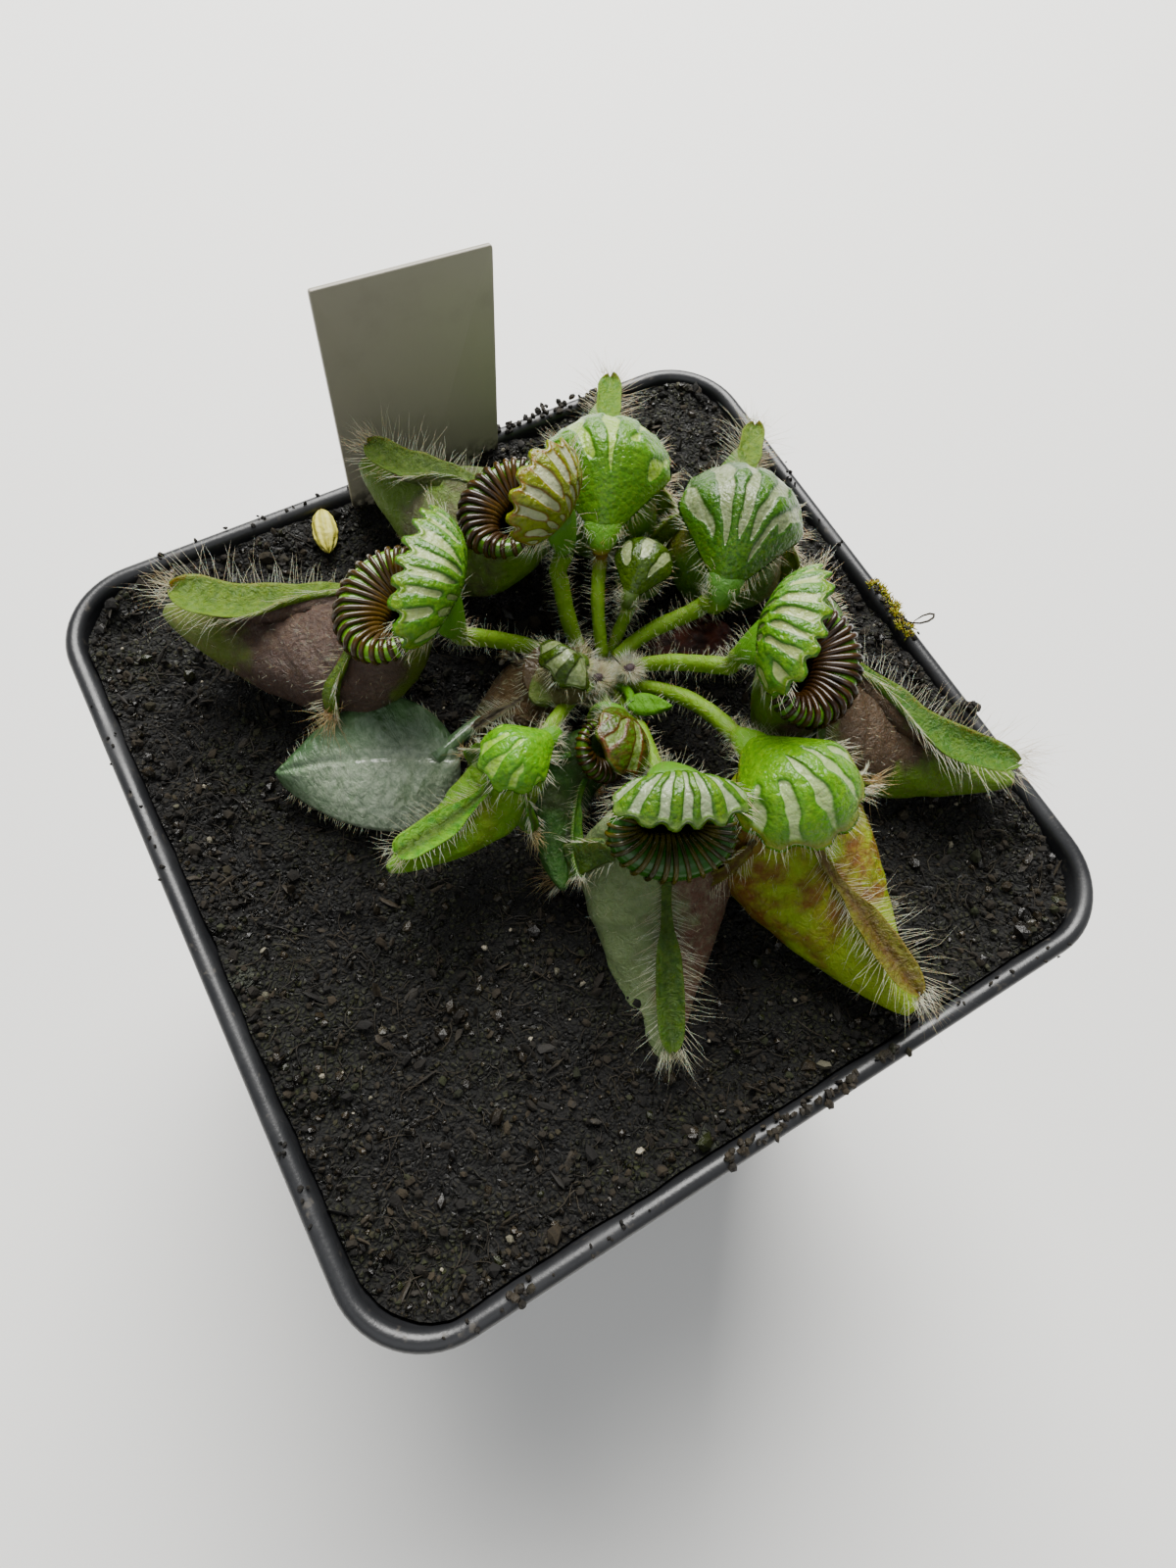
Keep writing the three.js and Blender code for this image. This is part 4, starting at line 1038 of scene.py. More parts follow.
def leaf_paint(leaf):
    """A leaf's skin: green below and at the tip, flushed on the flanks and round the mouth,
    with a faint net of veins and pale streaks of painted sheen. The stalk and the strip have
    greens of their own, and painted shade makes the inside of an open cup near black."""
    green, flush, pale, strip, strip_pale, groove, cap = leaf.tones.split()
    paint = Paint(leaf.name + "_skin", 0.35, shine=0.35, glow=0.1)
    around, along, part = paint.place()
    mottle = paint.noise(3.4, 4, shift=leaf.length)
    fine = paint.noise(0.8, 5, 0.65)
    blush = (1 - abs(around).rise(1.5, 2.6)) * (1 - along.rise(leaf.tip, 0.97)) * leaf.blush
    blush = blush + around * leaf.lean + (mottle - 0.5) * 1.7
    veins = 1 - paint.cells(1.3).rise(0.01, 0.1)
    sheen = paint.noise(1.1, 5, 0.7, bend=1.5).rise(0.55, 0.75)
    on_stalk = part.rise(2.5, 2.9) * (1 - part.rise(3.1, 3.5))
    stalk_tone = paint.blend(
        "5a7c0c",
        (fine, "80a02a"),
        (along.rise(0.4, 0.6) * leaf.orange, "86681c"),
        (around.rise(0.04, 0.35), cap),
    )
    strip_tone = paint.blend(
        strip,
        (fine.rise(0.3, 0.7), strip_pale),
        ((1 - abs(around).rise(0.1, 0.7)) * leaf.cleft, groove),
        (abs(around).rise(0.72, 0.95) * 0.5, strip_pale),
    )
    paint.colour(
        green,
        (blush.rise(0.25, 0.75), flush),
        (fine.rise(0.4, 0.75) * 0.4, pale),
        (veins * mottle * 0.12, "241c12"),
        # Painted sheen: pale grey-green streaks stand in for light reflected off the skin.
        (sheen * leaf.sheen, "a9b094"),
        (on_stalk, stalk_tone),
        (part.rise(3.5, 3.9), strip_tone),
        # Painted shade: the inside wall of an open cup is near black, as its hollow lies in shade.
        (part.rise(0.5, 0.9) * (1 - part.rise(1.1, 1.5)), "141a08"),
    )
    paint.roughness(0.24 + fine * 0.4)
    folds = paint.noise(1.0, 5, 0.62, bend=1.6) * leaf.wrinkle
    paint.relief((paint.noise(0.4, 5, 0.65) * 0.6 + folds) * (1 - on_stalk * 0.6), 0.32)
    return paint


LEAVES = [
    Pitcher(
        "pitcher_left", (-12.4, 16.7, 13), 140, ((128, 0), (-0.5, 14, 6), (4, -1.5, -4)), OPEN,
        pitch=-4, roll=4, twist=-42, bulge=2, length=27.5, half_depth=3.6, margin=2.3,
        tones="60701a 4e3f38 75624f 4c6810 6c841c 3b4a1c 568208", blush=1.2, fin=0.5, sheen=0.25,
    ),
    Pitcher(
        "pitcher_back_left", (3.8, 21.9, 13), 121, ((108, 0.5), (4.5, 14, 5), (1.5, -4, -4)), OPEN,
        pitch=-6, roll=-6, twist=-25, length=22, half_width=5, half_depth=3.9, margin=0.7,
        tones="64802c 5a5840 8fa468 42581a 647a3a 3b4a1c 568208", blush=0.6, fin=0.6, sheen=0.3,
    ),
    Pitcher(
        "pitcher_right", (21, -7.2, 13), -46, ((-24, 2.8), (14, 3, 6), (-4, 3, -3)), OPEN,
        pitch=1, roll=6, twist=38, length=30.5, half_width=5.4, half_depth=3.7, margin=1.6,
        tones="648420 504234 74604c 38600e 58741e 3b4a1c 568208",
        blush=0.9, lean=0.25, fin=0.6, cleft=0, broad=0.78,
    ),
    Pitcher(
        "pitcher_front", (1.3, -14.6, 10), -116, ((-80, 0.8), (6.8, -3.2, 3.6), (1.5, 4, -3)), OPEN,
        pitch=14, length=25.5, half_width=5.1, half_depth=3.1, bulge=3.4, opened=57, lid=-0.1,
        margin=1.3, tones="82926a 6c5448 a6ae94 2e4a18 50692a 3b4a1c 568208", blush=0.45,
        lean=0.75, tip=0.85, broad=0.7, cleft=0.3, fin=0.9, flap=2.6, sheen=0.5, peak=0.46, hang=0.9,
    ),
    Pitcher(
        "pitcher_back", (15.2, 22.4, 12), 57, ((75, 2.6), (9, 14, 9), (-2, -4, -4)), SHUT,
        pitch=4, length=24.5, half_width=5.2, half_depth=4.7, stem=0.85,
        tones="5f8a18 6c7a28 8ca44a 4f781a 7a9636 3b4a1c 629004", blush=0.6, orange=0.9, broad=0.75,
    ),
    Pitcher(
        "pitcher_back_right", (24.7, 10.3, 12), 47, ((28, 2.6), (16, 8.6, 6.5), (-4, -3, -5)), SHUT,
        pitch=4, length=24, half_width=5.1, half_depth=5.2, margin=1.8,
        tones="4f741a 666a30 84944c 4c6a20 748a3c 3b4a1c 487204", blush=0.8, broad=0.75,
    ),
    Pitcher(
        "pitcher_front_right", (13.2, -17, 11), -87, ((-56, 1), (14.5, -2, 6), (-0.5, 5, -2)), SHUT,
        roll=6, length=26.5, half_width=5.2, half_depth=4.6, bulge=3.6, opened=20, margin=1.2,
        tones="92aa14 785426 a8b23a 54480f 707020 4a2410 6a9406", blush=0.62, broad=0.7, cleft=0.5,
    ),
    Pitcher(
        "pitcher_centre_old", (0.2, 7, 5.6), 188, ((172, 0), (3.5, 6.3, 4), (1, 0, -1)), SMALL,
        roll=-10, length=11.5, half_width=3.1, opened=4, margin=0.1, stem=0.8,
        tones="4c4a30 54442f 74664e 54523e 807a62 544c40 5a5a3c", blush=1.3, wrinkle=4,
        broad=0.6, cleft=1, peak=0.15, crumple=0.4, sheen=0.4,
    ),
    Pitcher(
        "pitcher_centre_front", (0, -3.1, 6.4), -118, ((-138, 0.5), (4.5, 0, 5), (1.5, 1, -1)), SMALL,
        roll=-42, length=15, half_width=3, half_depth=2.3, opened=24, margin=0.9, lid=1.3, stem=0.8,
        tones="2c501c 2f3c1c 4c6830 32601c 5c8038 3b4a1c 568208", blush=0.5, broad=0.6, fin=0.4,
    ),
    Pitcher(
        "pitcher_front_left", (-8.8, -2.2, 11.5), 190, ((-165, 2.2), (0, 3, 9), (3, 1.5, 0)), SMALL,
        pitch=-4, length=16.5, half_width=2.9, half_depth=2.8, bulge=1.1, belly=0.4, opened=8,
        margin=0.7, stem=0.8, tones="6c960c 788a1a 8aa82c 3f7a0c 74a01c 3c3010 568208",
        blush=0.4, broad=1.15, cleft=0.6,
    ),
    Pitcher(
        "pitcher_young_back", (14.2, 12.3, 9), 40, ((50, 0.2), (11, 10.5, 4), (-1, -1.5, -3)), YOUNG,
        half_width=2.3, half_depth=2.5, margin=0.9, stem=0.8,
        tones="38561c 3f4c22 66744a 40561c 6a7444 3b4a1c 40541a",
    ),
    Pitcher(
        "pitcher_young_centre", (0.5, 4.5, 11), 190, ((140, 3), (5, 7, 5.5), (1, -1, -2)), YOUNG,
        length=5, half_width=2.6, half_depth=1.2, opened=20, margin=0.8, stem=0.7,
        tones="4c5c24 504c2c 6a7048 56641e 84885a 3b4a1c 465c1a",
    ),
]
tan_hair = hair_paint("tan_hair", "8a7350", "cdbb95")
for leaf in LEAVES:
    body, fringe, tuft = Form(), Form(), Form()
    cup(leaf, body)
    stalk(leaf, body, fringe)
    if leaf.length > WINGED_LENGTH:
        strip(leaf, body, fringe)
        for side in (-1, 1):
            fin(leaf, body, fringe, tuft, side)
        tuft.piece(leaf.name + "_tufts", tan_hair, "leaf_brown")
    down(leaf, fringe)
    slot = SLOTS[leaf.name]
    body.piece(leaf.name + "_body", leaf_paint(leaf), slot, leaf.name)
    fringe.piece(leaf.name + "_hairs", white_hair, slot)


# Lips
# The rim of each open mouth: glossy ribs laid side by side like cords over a green roll,
# each ending inside in a hard tooth that points down into the cup.

LIP_RADIUS = 1.5


def lip_section(leaf, turn, bend, fat, inward):
    """A point of the lip's surface: turn runs round the mouth and bend round the roll, from
    outside over the top to the inside, where the roll slopes down like a funnel."""
    size = LIP_RADIUS * min(1, leaf.half_width / 5) * (0.72 + 0.28 * np.cos(turn)) * fat
    reach = np.cos(bend) * size * np.where(np.cos(bend) < 0, inward, 1)
    x = (leaf.half_depth + 0.2 + reach) * np.cos(turn)
    y = (leaf.half_width + reach) * np.sin(turn)
    z = size * (1.06 + np.sin(bend)) + 0.3 - 0.3 * np.maximum(0, -reach)
    return leaf.over_mouth(x, y, z)


def lip_core(leaf, form, fat, inward):
    """The roll under the ribs, a ring round the mouth that is thinner behind."""
    turn = np.linspace(0, 2 * HALF_TURN, 97)[:, None]
    points = lip_section(leaf, turn, circle(18), fat * 0.86, inward)
    form.grid(leaf.world(points), turned=True, ends=(False, False))


def lip_rib(leaf, form, turn, width, fat, inward):
    """One rib: a round cord bent over the roll from the outside, over the top and down the
    inside, where it narrows to the tooth."""
    points = lip_section(leaf, turn, np.linspace(-0.95, 3.5, 21), fat * 0.9, inward + 0.05)
    tooth = points[-1] - np.linspace(0.25, 1.5, 5)[:, None] * (0.25 * math.cos(turn), 0, 1)
    cord = 0.8 + 0.25 * np.sin(np.linspace(0, HALF_TURN, 21))
    cord = np.append(cord, (0.72, 0.56, 0.4, 0.24, 0.08)) * width
    cord = cord * (0.86 + 0.14 * math.cos(turn))
    tube(form, leaf.world(np.concatenate([points, tooth])), cord, 8, (1, 0, 0))


def lip_paint(name, dark, warm, green):
    """Ribs from near black to warm brown, glossy as lacquer, over a bright green roll."""
    paint = Paint(name, 0.14, shine=0.4)
    rib, _, _ = paint.place()
    tone = paint.blend(dark, (paint.noise(3.2, 3).rise(0.35, 0.7), warm))
    paint.colour(green, (rib, tone))
    paint.roughness(0.1 + paint.noise(0.8, 3) * 0.3)
    return paint


# Tones of the dark and warm ribs and of the roll, the share of the space that the ribs
# fill, how fat the roll is, and how far it slopes inwards.
LIPS = {
    "pitcher_left": ("30240c 4e3c14 6f9c0c", 0.33, 1.2, 2.1),
    "pitcher_back_left": ("2a1c0a 503c1a 4c7010", 0.36, 1.05, 2.0),
    "pitcher_right": ("1c120a 402c18 56800f", 0.38, 1.15, 1.9),
    "pitcher_front": ("2e2c0e 55501e 2f5c0c", 0.28, 1.3, 1.5),
    "pitcher_centre_front": ("2a1c0c 4c3a1c 446014", 0.3, 1.1, 1.6),
}
for leaf in LEAVES:
    if not leaf.lipped:
        continue
    lip = Form()
    tones, share, fat, inward = LIPS[leaf.name]
    lip_core(leaf, lip, fat, inward)
    length = HALF_TURN * (leaf.half_width + leaf.half_depth)
    ribs = round(length / (0.9 if leaf.length > LARGE_LENGTH else 0.7))
    for i in range(ribs):
        turn = 2 * HALF_TURN * (i + random.uniform(-0.14, 0.14)) / ribs
        width = share * length / ribs * random.uniform(0.86, 1.14)
        lip_rib(leaf, lip, turn, width, fat, inward)
    paint = lip_paint(leaf.name + "_lip_gloss", *tones.split())
    lip.piece(leaf.name + "_ribs", paint, "lip", leaf.name + "_lip")


# Lids
# A domed scallop over each mouth, hinged at the neck. Green ribs fan out from the hinge
# between pale windows without green, which let light through, and the edge is hairy.

OPEN_LID_HAIRS = 170
SHUT_LID_HAIRS = 240


def lid_windows(leaf, x, y, rays, start, bridge, more):
    """Above 0 where the lid has a window: a wave across rays that meet behind the hinge,
    bent by noise. Each ends somewhere near start, a bridge of green may cross it, and more
    makes all of them broader."""
    long = leaf.lid_long
    seed = int(leaf.length * 2) + int(leaf.opened * 9)
    wave = np.arctan2(y, x + 1.35 * long) * rays
    wave = wave + 1.3 * lattice(x, y, 2.8, seed + 22) + 0.5 * lattice(x, y, 1.1, seed + 24)
    field = np.cos(wave) + 0.55 * lattice(x, y, 1.7, seed + 23) + more
    across = lattice(0 * x, y, 1.4, seed + 25)
    field = field - bridge * np.exp(-(((x / long + 0.05 + 0.3 * across) / 0.1) ** 2))
    end = start + 0.3 * lattice(0 * x, y, 1.2, seed + 26)
    return field - 3 * (1 - smooth_step(x / long, end - 0.2, end + 0.1))


def lid_shape(leaf, share, turn, drop, rays=20, start=0.0, bridge=0.0, more=0.1):
    """A point of the lid: share runs from the pole by the hinge out to the edge, turn round
    the pole. The edge is an ellipse with low teeth in front, and the height is a dome that
    is a little lower in the windows. Behind, a shut lid narrows and bends down to the neck.
    Also gives the field of the windows there."""
    long = leaf.lid_long
    wide = leaf.lid_wide
    peak = leaf.peak or (0.5 if leaf.lipped else 0.66)
    pole = -0.5 * long
    c = np.cos(turn)
    s = np.sin(turn)
    a = (c / long) ** 2 + (s / wide) ** 2
    b = pole * c / long**2
    edge = (-b + np.sqrt(b * b - a * ((pole / long) ** 2 - 1))) / a
    field = lid_windows(leaf, pole + edge * share * c, edge * share * s, rays, start, bridge, more)
    teeth = np.maximum(field, -1) * smooth_step(c, -0.1, 0.5) * share**5
    reach = edge * share * (1 - 0.045 * teeth)
    x = pole + reach * c
    y = reach * s
    rise = peak * wide * np.maximum(0, 1 - (x / long) ** 2 - (y / wide) ** 2) ** 0.8
    pane = smooth_step(field, -0.3, 0.4) * (1 - smooth_step(share, 0.9, 0.98))
    relief = 0.09 * lattice(x, y, 1.1, 21) + leaf.crumple * lattice(x, y, 3.1, 25)
    relief = relief * smooth_step(share, 0.1, 0.4)
    back = 0 if leaf.lipped else smooth_step(-x / long, 0.25, 1.0)
    z = rise + (relief - drop) * (1 - 0.85 * back) - 0.3 * leaf.half_width / FULL_WIDTH * pane
    point = leaf.over_lid(x - 0.3 * long * back, y * (1 - 0.5 * back), z - 0.36 * wide * back)
    return point, field


def lid(leaf, form, fringe, *windows):
    """The lid's outside, a rounded edge and its inside, with hairs along the edge."""
    columns = 192 if leaf.length > LARGE_LENGTH else 144
    turn = circle(columns, -HALF_TURN)
    share = np.linspace(0.03, 0.98, 34)[:, None]
    thick = 0.55 if leaf.lipped else 0.5
    inner = thick * smooth_step(share[::2], 0.0, 0.3)
    below, _ = lid_shape(leaf, share[::2], turn, inner, *windows)
    middle, _ = lid_shape(leaf, np.array([[1.0]]), turn, thick * 0.5, *windows)
    above, field = lid_shape(leaf, share[::-1], turn, 0.0, *windows)
    hidden = np.broadcast_to((-1.0, 0, 0), (len(below) + 1, columns, 3))
    place = np.concatenate([hidden, stack(field, share[::-1], 0)])
    form.grid(leaf.world(np.concatenate([below, middle, above])), place)
    scale = leaf.half_width / FULL_WIDTH
    count = int((OPEN_LID_HAIRS if leaf.lipped else SHUT_LID_HAIRS) * scale)
    angle = random.choice((-1, 1), count) * random.uniform(1.0 if leaf.lipped else 0, 2.8, count)
    edge, _ = lid_shape(leaf, np.full(count, 0.99), angle, 0.15)
    outer, _ = lid_shape(leaf, np.full(count, 1.12), angle, 0.15)
    ways = unit(outer - edge) + random.normal(0, 0.22, (count, 3))
    reach = random.uniform(0.6, 2.1, count) * (0.8 + 0.5 * scale)
    hairs(fringe, leaf.world(edge), leaf.ways(ways), reach, 0.021, 0.04)


def lid_paint(name, green, deep, window, vein, edge):
    """Pale windows with a darker line round them; between them the green is deep, and
    towards the hinge it is plain and bright. The skin is wet and beaded."""
    paint = Paint(name, 0.2, shine=0.35, glow=0.05, depth=0.8)
    field, share, _ = paint.place()
    grain = paint.noise(0.6, 5, 0.65)
    fuzzy = field + (grain - 0.5) * 0.3
    pane = fuzzy.rise(0.0, 0.4) * (1 - share.rise(0.9, 0.96))
    line = fuzzy.rise(-0.35, 0.05) * (1 - fuzzy.rise(0.1, 0.35))
    paint.colour(
        deep,
        (grain.rise(0.3, 0.7), green),
        (fuzzy.rise(-1.2, -0.2) * 0.8, deep),
        (line * 0.5, vein),
        (share.rise(0.9, 1.0) * 0.5, edge),
        (pane, paint.blend(window, (grain.rise(0.3, 0.75) * 0.3, "d3d9bc"))),
    )
    paint.roughness(0.14 + grain * 0.2 - pane * 0.08)
    bead = paint.cells(0.45, "F1")
    paint.relief(bead * bead * -0.4 + paint.noise(0.9, 4, 0.6) * 1.5, 0.17)
    return paint


# Tones of the green, the deep green, the windows, the line round them and the edge, then
# rays, start, bridge and more as in lid_windows.
LIDS = {
    "pitcher_left": ("6c920c 44700a a0b078 34500c 8a9a3a", 27, -0.65, 1.8, 0.05),
    "pitcher_back_left": ("88962c 6c7420 b4b898 7c3018 8a4a2c", 27, -0.65, 1.4, 0.1),
    "pitcher_right": ("709810 42700c a6b478 345410 8a9a3a", 27, -0.65, 1.6, 0.0),
    "pitcher_front": ("708f3c 43682a 8c9a7a 2c481c 8c9c6c", 20, -0.9, 0.0, 0.0),
    "pitcher_back": ("688e02 4e7a02 94b444 3f6606 688e02", 18, -0.4, 0.0, -0.3),
    "pitcher_back_right": ("527404 345a02 7e8a66 2c4606 527404", 22, -0.6, 0.0, 0.05),
    "pitcher_front_right": ("749c06 548202 a2b680 3f6c04 94701c", 21, -0.3, 0.0, -0.45),
    "pitcher_centre_old": ("5c5040 463a2c 6f6450 3a2a1c 4a4230", 20, 2.0, 0.0, 0.0),
    "pitcher_centre_front": ("446612 443410 566c20 60240f 6a381c", 16, -0.6, 0.0, -0.3),
    "pitcher_front_left": ("709c06 528602 94bc40 4a7a04 709c06", 18, -0.2, 0.0, -0.3),
    "pitcher_young_back": ("4c621c 344810 8e9a70 24300c 46601c", 15, -0.4, 0.0, 0.0),
    "pitcher_young_centre": ("4a6220 30400e 6c7a50 261f08 50641c", 9, -0.9, 0.0, 0.2),
}
for leaf in LEAVES:
    shell, fringe = Form(), Form()
    tones, *windows = LIDS[leaf.name]
    lid(leaf, shell, fringe, *windows)
    paint = lid_paint(leaf.name + "_lid_skin", *tones.split())
    shell.piece(leaf.name + "_lid_shell", paint, "lid", leaf.name + "_lid")
    fringe.piece(leaf.name + "_lid_hairs", white_hair, "lid")


# Flat leaves
# Two ordinary leaves without a cup, smooth, thick and shiny: a large silvery one on the
# left and a small fresh one by the crown. Each stands on a short stalk from the crown.


def blade(form, fringe, ends, half, arch, droop, foot, stem, count, lean):
    """An oval blade along a straight line that arches up; its sides droop, its midrib is a
    groove above and a ridge below, and side veins curve forward to the edge. Lean is the
    slope of the blade across its midrib, and count is the number of its hairs."""
    base, tip = map(over_rim, ends)
    across = unit(np.array((base[1] - tip[1], tip[0] - base[0], 0.0))) + (0, 0, lean)
    across = unit(across)
    t = np.linspace(0.004, 0.996, 90)
    s = np.concatenate([np.linspace(1, -1, 49), np.linspace(-1, 1, 31)[1:-1]])
    over = np.arange(len(s)) < 49
    wide = half * np.sin(HALF_TURN * t**0.72) ** 0.75
    middle = base + (tip - base) * t[:, None]
    middle[:, 2] += arch * np.sin(HALF_TURN * t)
    t = t[:, None]
    side = s * wide[:, None]
    along = t * np.linalg.norm(tip - base)
    thick = 0.42 * (1 - s**6) + 0.06
    veins = np.sin((along - 0.55 * np.abs(side)) * 3.1) * np.minimum(1, np.abs(s) * 4)
    veins = veins * (1 - s**4) * half / 150
    rib = np.exp(-((side / 0.35) ** 2)) * half / 24
    crinkle = 0.04 * lattice(along, side * 0.7, 0.8, 41) + 0.3 * lattice(along, side, 4.5, 42)
    height = np.where(over, thick - rib + veins, -thick - rib) + crinkle * half / 7.8
    points = middle[:, None] + across * side[..., None]
    points[..., 2] += height - droop * s**2
    form.grid(points, stack(s, t, np.where(over, 0.0, 1.0)))
    line = bezier([*stalk_foot(*foot), middle[12]], np.linspace(0, 1, 20))
    tube(form, line, stem, 14, (0, 0, 2))
    pick = random.integers(3, 88, count)
    sign = random.choice((-1, 1), count)
    roots = middle[pick] + across * (sign * wide[pick])[:, None] * 0.99
    roots[:, 2] -= droop
    ways = across * sign[:, None] + unit(tip - base) * 0.4 + random.normal(0, 0.35, (count, 3))
    hairs(fringe, roots, ways, random.uniform(0.5, 1.3, count), 0.03)


def blade_paint(name, gloss, deep, mid, sheen_tone):
    """Deep green with a painted sheen: pale silver streaks across the veins, laid on towards
    the base and on one half of the blade, stand in for light reflected by its gloss.
    """
    paint = Paint(name, 0.3, shine=0.1 + gloss, coat=gloss)
    across, along, part = paint.place()
    fine = paint.noise(0.7, 5, 0.7, bend=0.6)
    # Painted sheen: paler towards the base and on one half of the blade, where its gloss catches the
    # light.
    pale = (1 - along.rise(0.6, 1.1)) * (0.1 + across.rise(-0.6, 0.3) * 0.9)
    vein = paint.cells(1.5)
    paint.colour(
        deep,
        (paint.noise(5, 3).rise(0.3, 0.7), mid),
        ((0.35 + fine.rise(0.36, 0.64) * 0.5) * pale, sheen_tone),
        ((1 - vein.rise(0.0, 0.12)) * 0.2, deep),
        (part * 0.4, mid),
    )
    paint.roughness(0.2 + fine * 0.3)
    ripple = paint.noise(1.6, 4, 0.6, stretch=(1.6, 0.6, 1), bend=0.8)
    paint.relief(paint.noise(0.5, 5, 0.65) * 0.3 + vein * 0.3 + ripple, 0.45)
    return paint


SILVERY = dict(
    ends=((-12.4, 3.8, 2.6), (-30.2, 12.2, 1)), half=7.2, arch=2.2, droop=1.6,
    foot=((155, -1.5), (-2, 10, 1.5)), stem=0.81, count=150, lean=-0.4,
)
FRESH = dict(
    ends=((6.2, 0.9, 4.2), (10.4, -2.0, 4.7)), half=1.4, arch=0.2, droop=0,
    foot=((-75, 1.5), (7.8, 2.5, 4)), stem=0.54, count=10, lean=0,
)
for node, slot, shape, *looks in (
    ("leaf_left", "leaf_grey_green", SILVERY, "silvery_blade", 0.5, "2c4c28", "587850", "c8d2bc"),
    ("leaf_crown_small", "leaf_bright_green", FRESH, "fresh_blade", 0, "48700a", "507a08", "58840c"),
):
    body, fringe = Form(), Form()
    blade(body, fringe, **shape)
    body.piece(node + "_blade", blade_paint(*looks), slot, node)
    fringe.piece(node + "_hairs", white_hair, slot)


# Small things on the soil
# Behind the crown lie the crumpled, rotting remains of an old leaf, and beside the label a
# yellow husk of a grain. Both lie loose on the peat.


def lump(at, size, turn, ripple, seed, taper=0.0):
    """A flattened ball on the soil, its surface moved in and out by ripple millimetres of
    noise and its ends drawn out by taper. Also gives its place numbers."""
    angle = np.linspace(-HALF_TURN / 2 + 0.04, HALF_TURN / 2 - 0.04, 61)[:, None]
    ring = circle(64)
    half = np.array(size) / 2
    x = np.sin(angle) + 0 * ring
    girth = np.cos(angle) ** (1 + taper)
    shape = stack(x, girth * np.cos(ring), girth * np.sin(ring)) * half
    around = ring * half[1]
    grain = lattice(x * half[0] + 9, around, 1.3, seed) + 0.6 * lattice(x * 4, around, 0.5, 9)
    shape = shape + unit(shape / half) * (ripple * grain)[..., None]
    foot = (at[0], at[1], soil_level(at[0], at[1]) + at[2])
    return shape @ rotation((turn, "Z")).T + foot, stack(x, ring, 0.0)


old = Form()
old.grid(*lump((19.5, 7, 0.4), (11, 6.4, 3.0), -20, 0.42, 51))
paint = Paint("old_leaf_skin", 0.6, coat=0.15)
rot = paint.noise(2.2, 5, 0.65).rise(0.35, 0.65)
paint.colour("2c150e", (rot, "62301c"), (paint.noise(0.8, 4).rise(0.6, 0.8), "8a6a44"))
paint.relief(paint.noise(0.5, 5, 0.7), 0.2)
old.piece("old_leaf_crumpled", paint, "dead_leaf", "old_leaf")

husk = Form()
husk.grid(*lump((-12.8, 40, 0.9), (6.6, 3, 2), 75, 0.09, 52, 0.25))
paint = Paint("husk", 0.55)
along, around, _ = paint.place()
ridge = (around * 9).sin()
paint.colour(
    "bdb640",
    (paint.noise(1.1, 4), "f0ea9a"),
    (ridge.rise(0.3, 0.9) * 0.35, "8f8a2c"),
    (along.rise(0.8, 0.97), "4a2f16"),
)
paint.relief(ridge * 0.6 + paint.noise(0.5, 4), 0.12)
husk.piece("grain_husk", paint, "grain", "pale_grain")


# Label
# A plain tag cut from stiff plastic sheet, pushed into the peat at the back and leaning a
# little. Its surface is matt, with water marks and peat sticking to its foot.

LABEL_WIDTH = 20.2
LABEL_LENGTH = 52
LABEL_ABOVE_RIM = 25.5
LABEL_THICKNESS = 0.6
LABEL_PLACE = (1.8, INNER_RIM_SIDE / 2 - 0.9, POT_HEIGHT)


def plate(width, length, thickness, corner, bevel):
    """A sheet with round corners and a small bevel: the outline is a superellipse, drawn in
    at both faces. Its width runs along X, its length along Z."""
    turn = circle(128)
    power = 2 * corner / width
    x = np.sign(np.cos(turn)) * np.abs(np.cos(turn)) ** power
    z = np.sign(np.sin(turn)) * np.abs(np.sin(turn)) ** power
    rings = []
    for inset, y in ((bevel, -1), (0, -1 + bevel), (0, 1 - bevel), (bevel, 1)):
        ring = stack(x * (width / 2 - inset), y * thickness / 2, z * (length / 2 - inset))
        rings.append(ring)
    return np.array(rings)


label = Form()
points = plate(LABEL_WIDTH, LABEL_LENGTH, LABEL_THICKNESS, 0.16, 0.1)
points[..., 2] += LABEL_ABOVE_RIM - LABEL_LENGTH / 2
lean = rotation((1.5, "Z"), (-8.5, "X"), (4, "Y"))
label.grid(points @ lean.T + LABEL_PLACE, turned=True)
paint = Paint("label_plastic", 0.5)
stain = paint.noise(7, 5).rise(0.5, 0.8)
smear = (1 - paint.height().rise(89, 93)) * paint.noise(1.3, 4).rise(0.35, 0.6)
paint.colour((0.31, 0.288, 0.225), (stain * 0.35, (0.2, 0.183, 0.14)), (smear, (0.012, 0.01, 0.007)))
paint.roughness(0.42 + stain * 0.2)
paint.relief(paint.noise(0.6, 3), 0.015)
label.piece("label_plate", paint, "label", "plant_label")


# Camera and light
# The pot stands on a plain pale surface under a large soft window behind it, with a weak
# fill from the front. The camera looks down on it from where the photograph was taken.

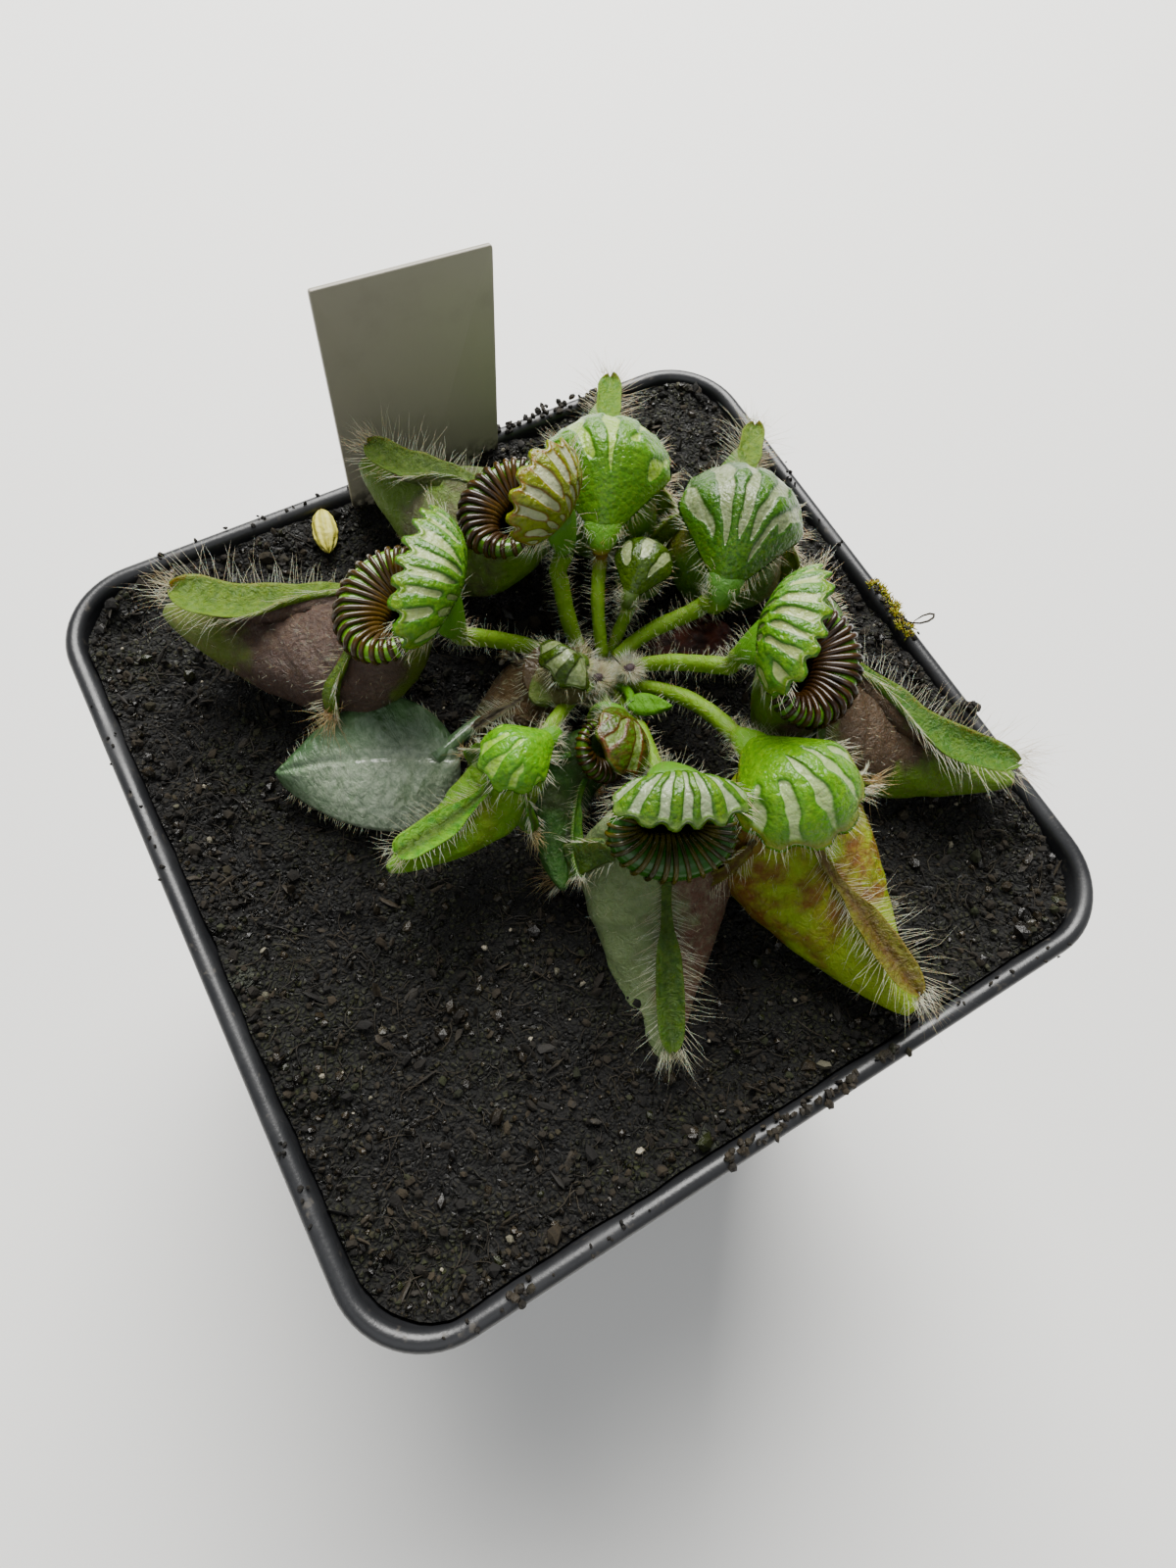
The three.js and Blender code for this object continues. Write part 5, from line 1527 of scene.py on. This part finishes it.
EYE = np.array((-25.063, -31.468, 180.152)) * MM
LOOK = np.array(
    (
        (0.86659, -0.49216, 0.08242),
        (-0.43307, -0.8238, -0.36579),
        (0.24793, 0.28129, -0.92704),
    )
)
LENS = 20.25
RIM_CENTRE = np.array((0, 0, POT_HEIGHT)) * MM
FLOOR_HALF = 3000
FLOOR_THICKNESS = 5


def stand(name, data, spot, axes):
    """An object at spot, in metres, whose own axes point along the three given."""
    made = bpy.data.objects.new(name, data)
    turn = Matrix(np.stack(axes, axis=1).tolist()).to_4x4()
    turn.translation = spot
    made.matrix_world = turn
    bpy.context.scene.collection.objects.link(made)
    return made


def camera():
    """LOOK holds the directions of the picture's right, down and depth."""
    data = bpy.data.cameras.new("camera")
    data.lens = LENS
    data.clip_start = 0.002
    data.clip_end = 10
    right, below, depth = LOOK
    bpy.context.scene.camera = stand("camera", data, EYE, (right, -below, -depth))


def lamp(name, spot, size, power, colour):
    """A square soft light at spot that faces the rim's centre, sizes in metres."""
    data = bpy.data.lights.new(name, "AREA")
    data.shape = "SQUARE"
    data.size = size
    data.energy = power
    data.color = colour
    way = unit(RIM_CENTRE - spot)
    side = unit(np.cross(way, (0, 0, 1)))
    stand(name, data, spot, (side, np.cross(side, way), -way))


def floor():
    """A plain pale sheet, wide enough to fill the view, with its top at the pot's foot."""
    form = Form()
    x = np.array((-1, 1, 1, -1)) * FLOOR_HALF
    y = np.array((-1, -1, 1, 1)) * FLOOR_HALF
    form.grid(np.array([stack(x, y, -FLOOR_THICKNESS), stack(x, y, 0)], float))
    paint = Paint("pale_floor", 0.75)
    paint.colour((0.8, 0.795, 0.77), (paint.noise(400, 2), (0.84, 0.835, 0.81)))
    form.build("floor", paint, smooth=False)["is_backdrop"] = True


camera()
lamp("window", (0.3, 0.6, 0.8), 0.7, 33, (1, 0.99, 0.96))
lamp("fill", (-0.5, -0.6, 0.9), 1.0, 3, (0.96, 0.98, 1))
world = bpy.data.worlds.new("room")
world.use_nodes = True
sky = world.node_tree.nodes["Background"].inputs
sky["Color"].default_value = (0.9, 0.92, 0.95, 1)
sky["Strength"].default_value = 0.36
bpy.context.scene.world = world
floor()

boxes = {"cad": cad_box, "visual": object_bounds()}
{key: [list(corner) for corner in box] for key, box in boxes.items()}
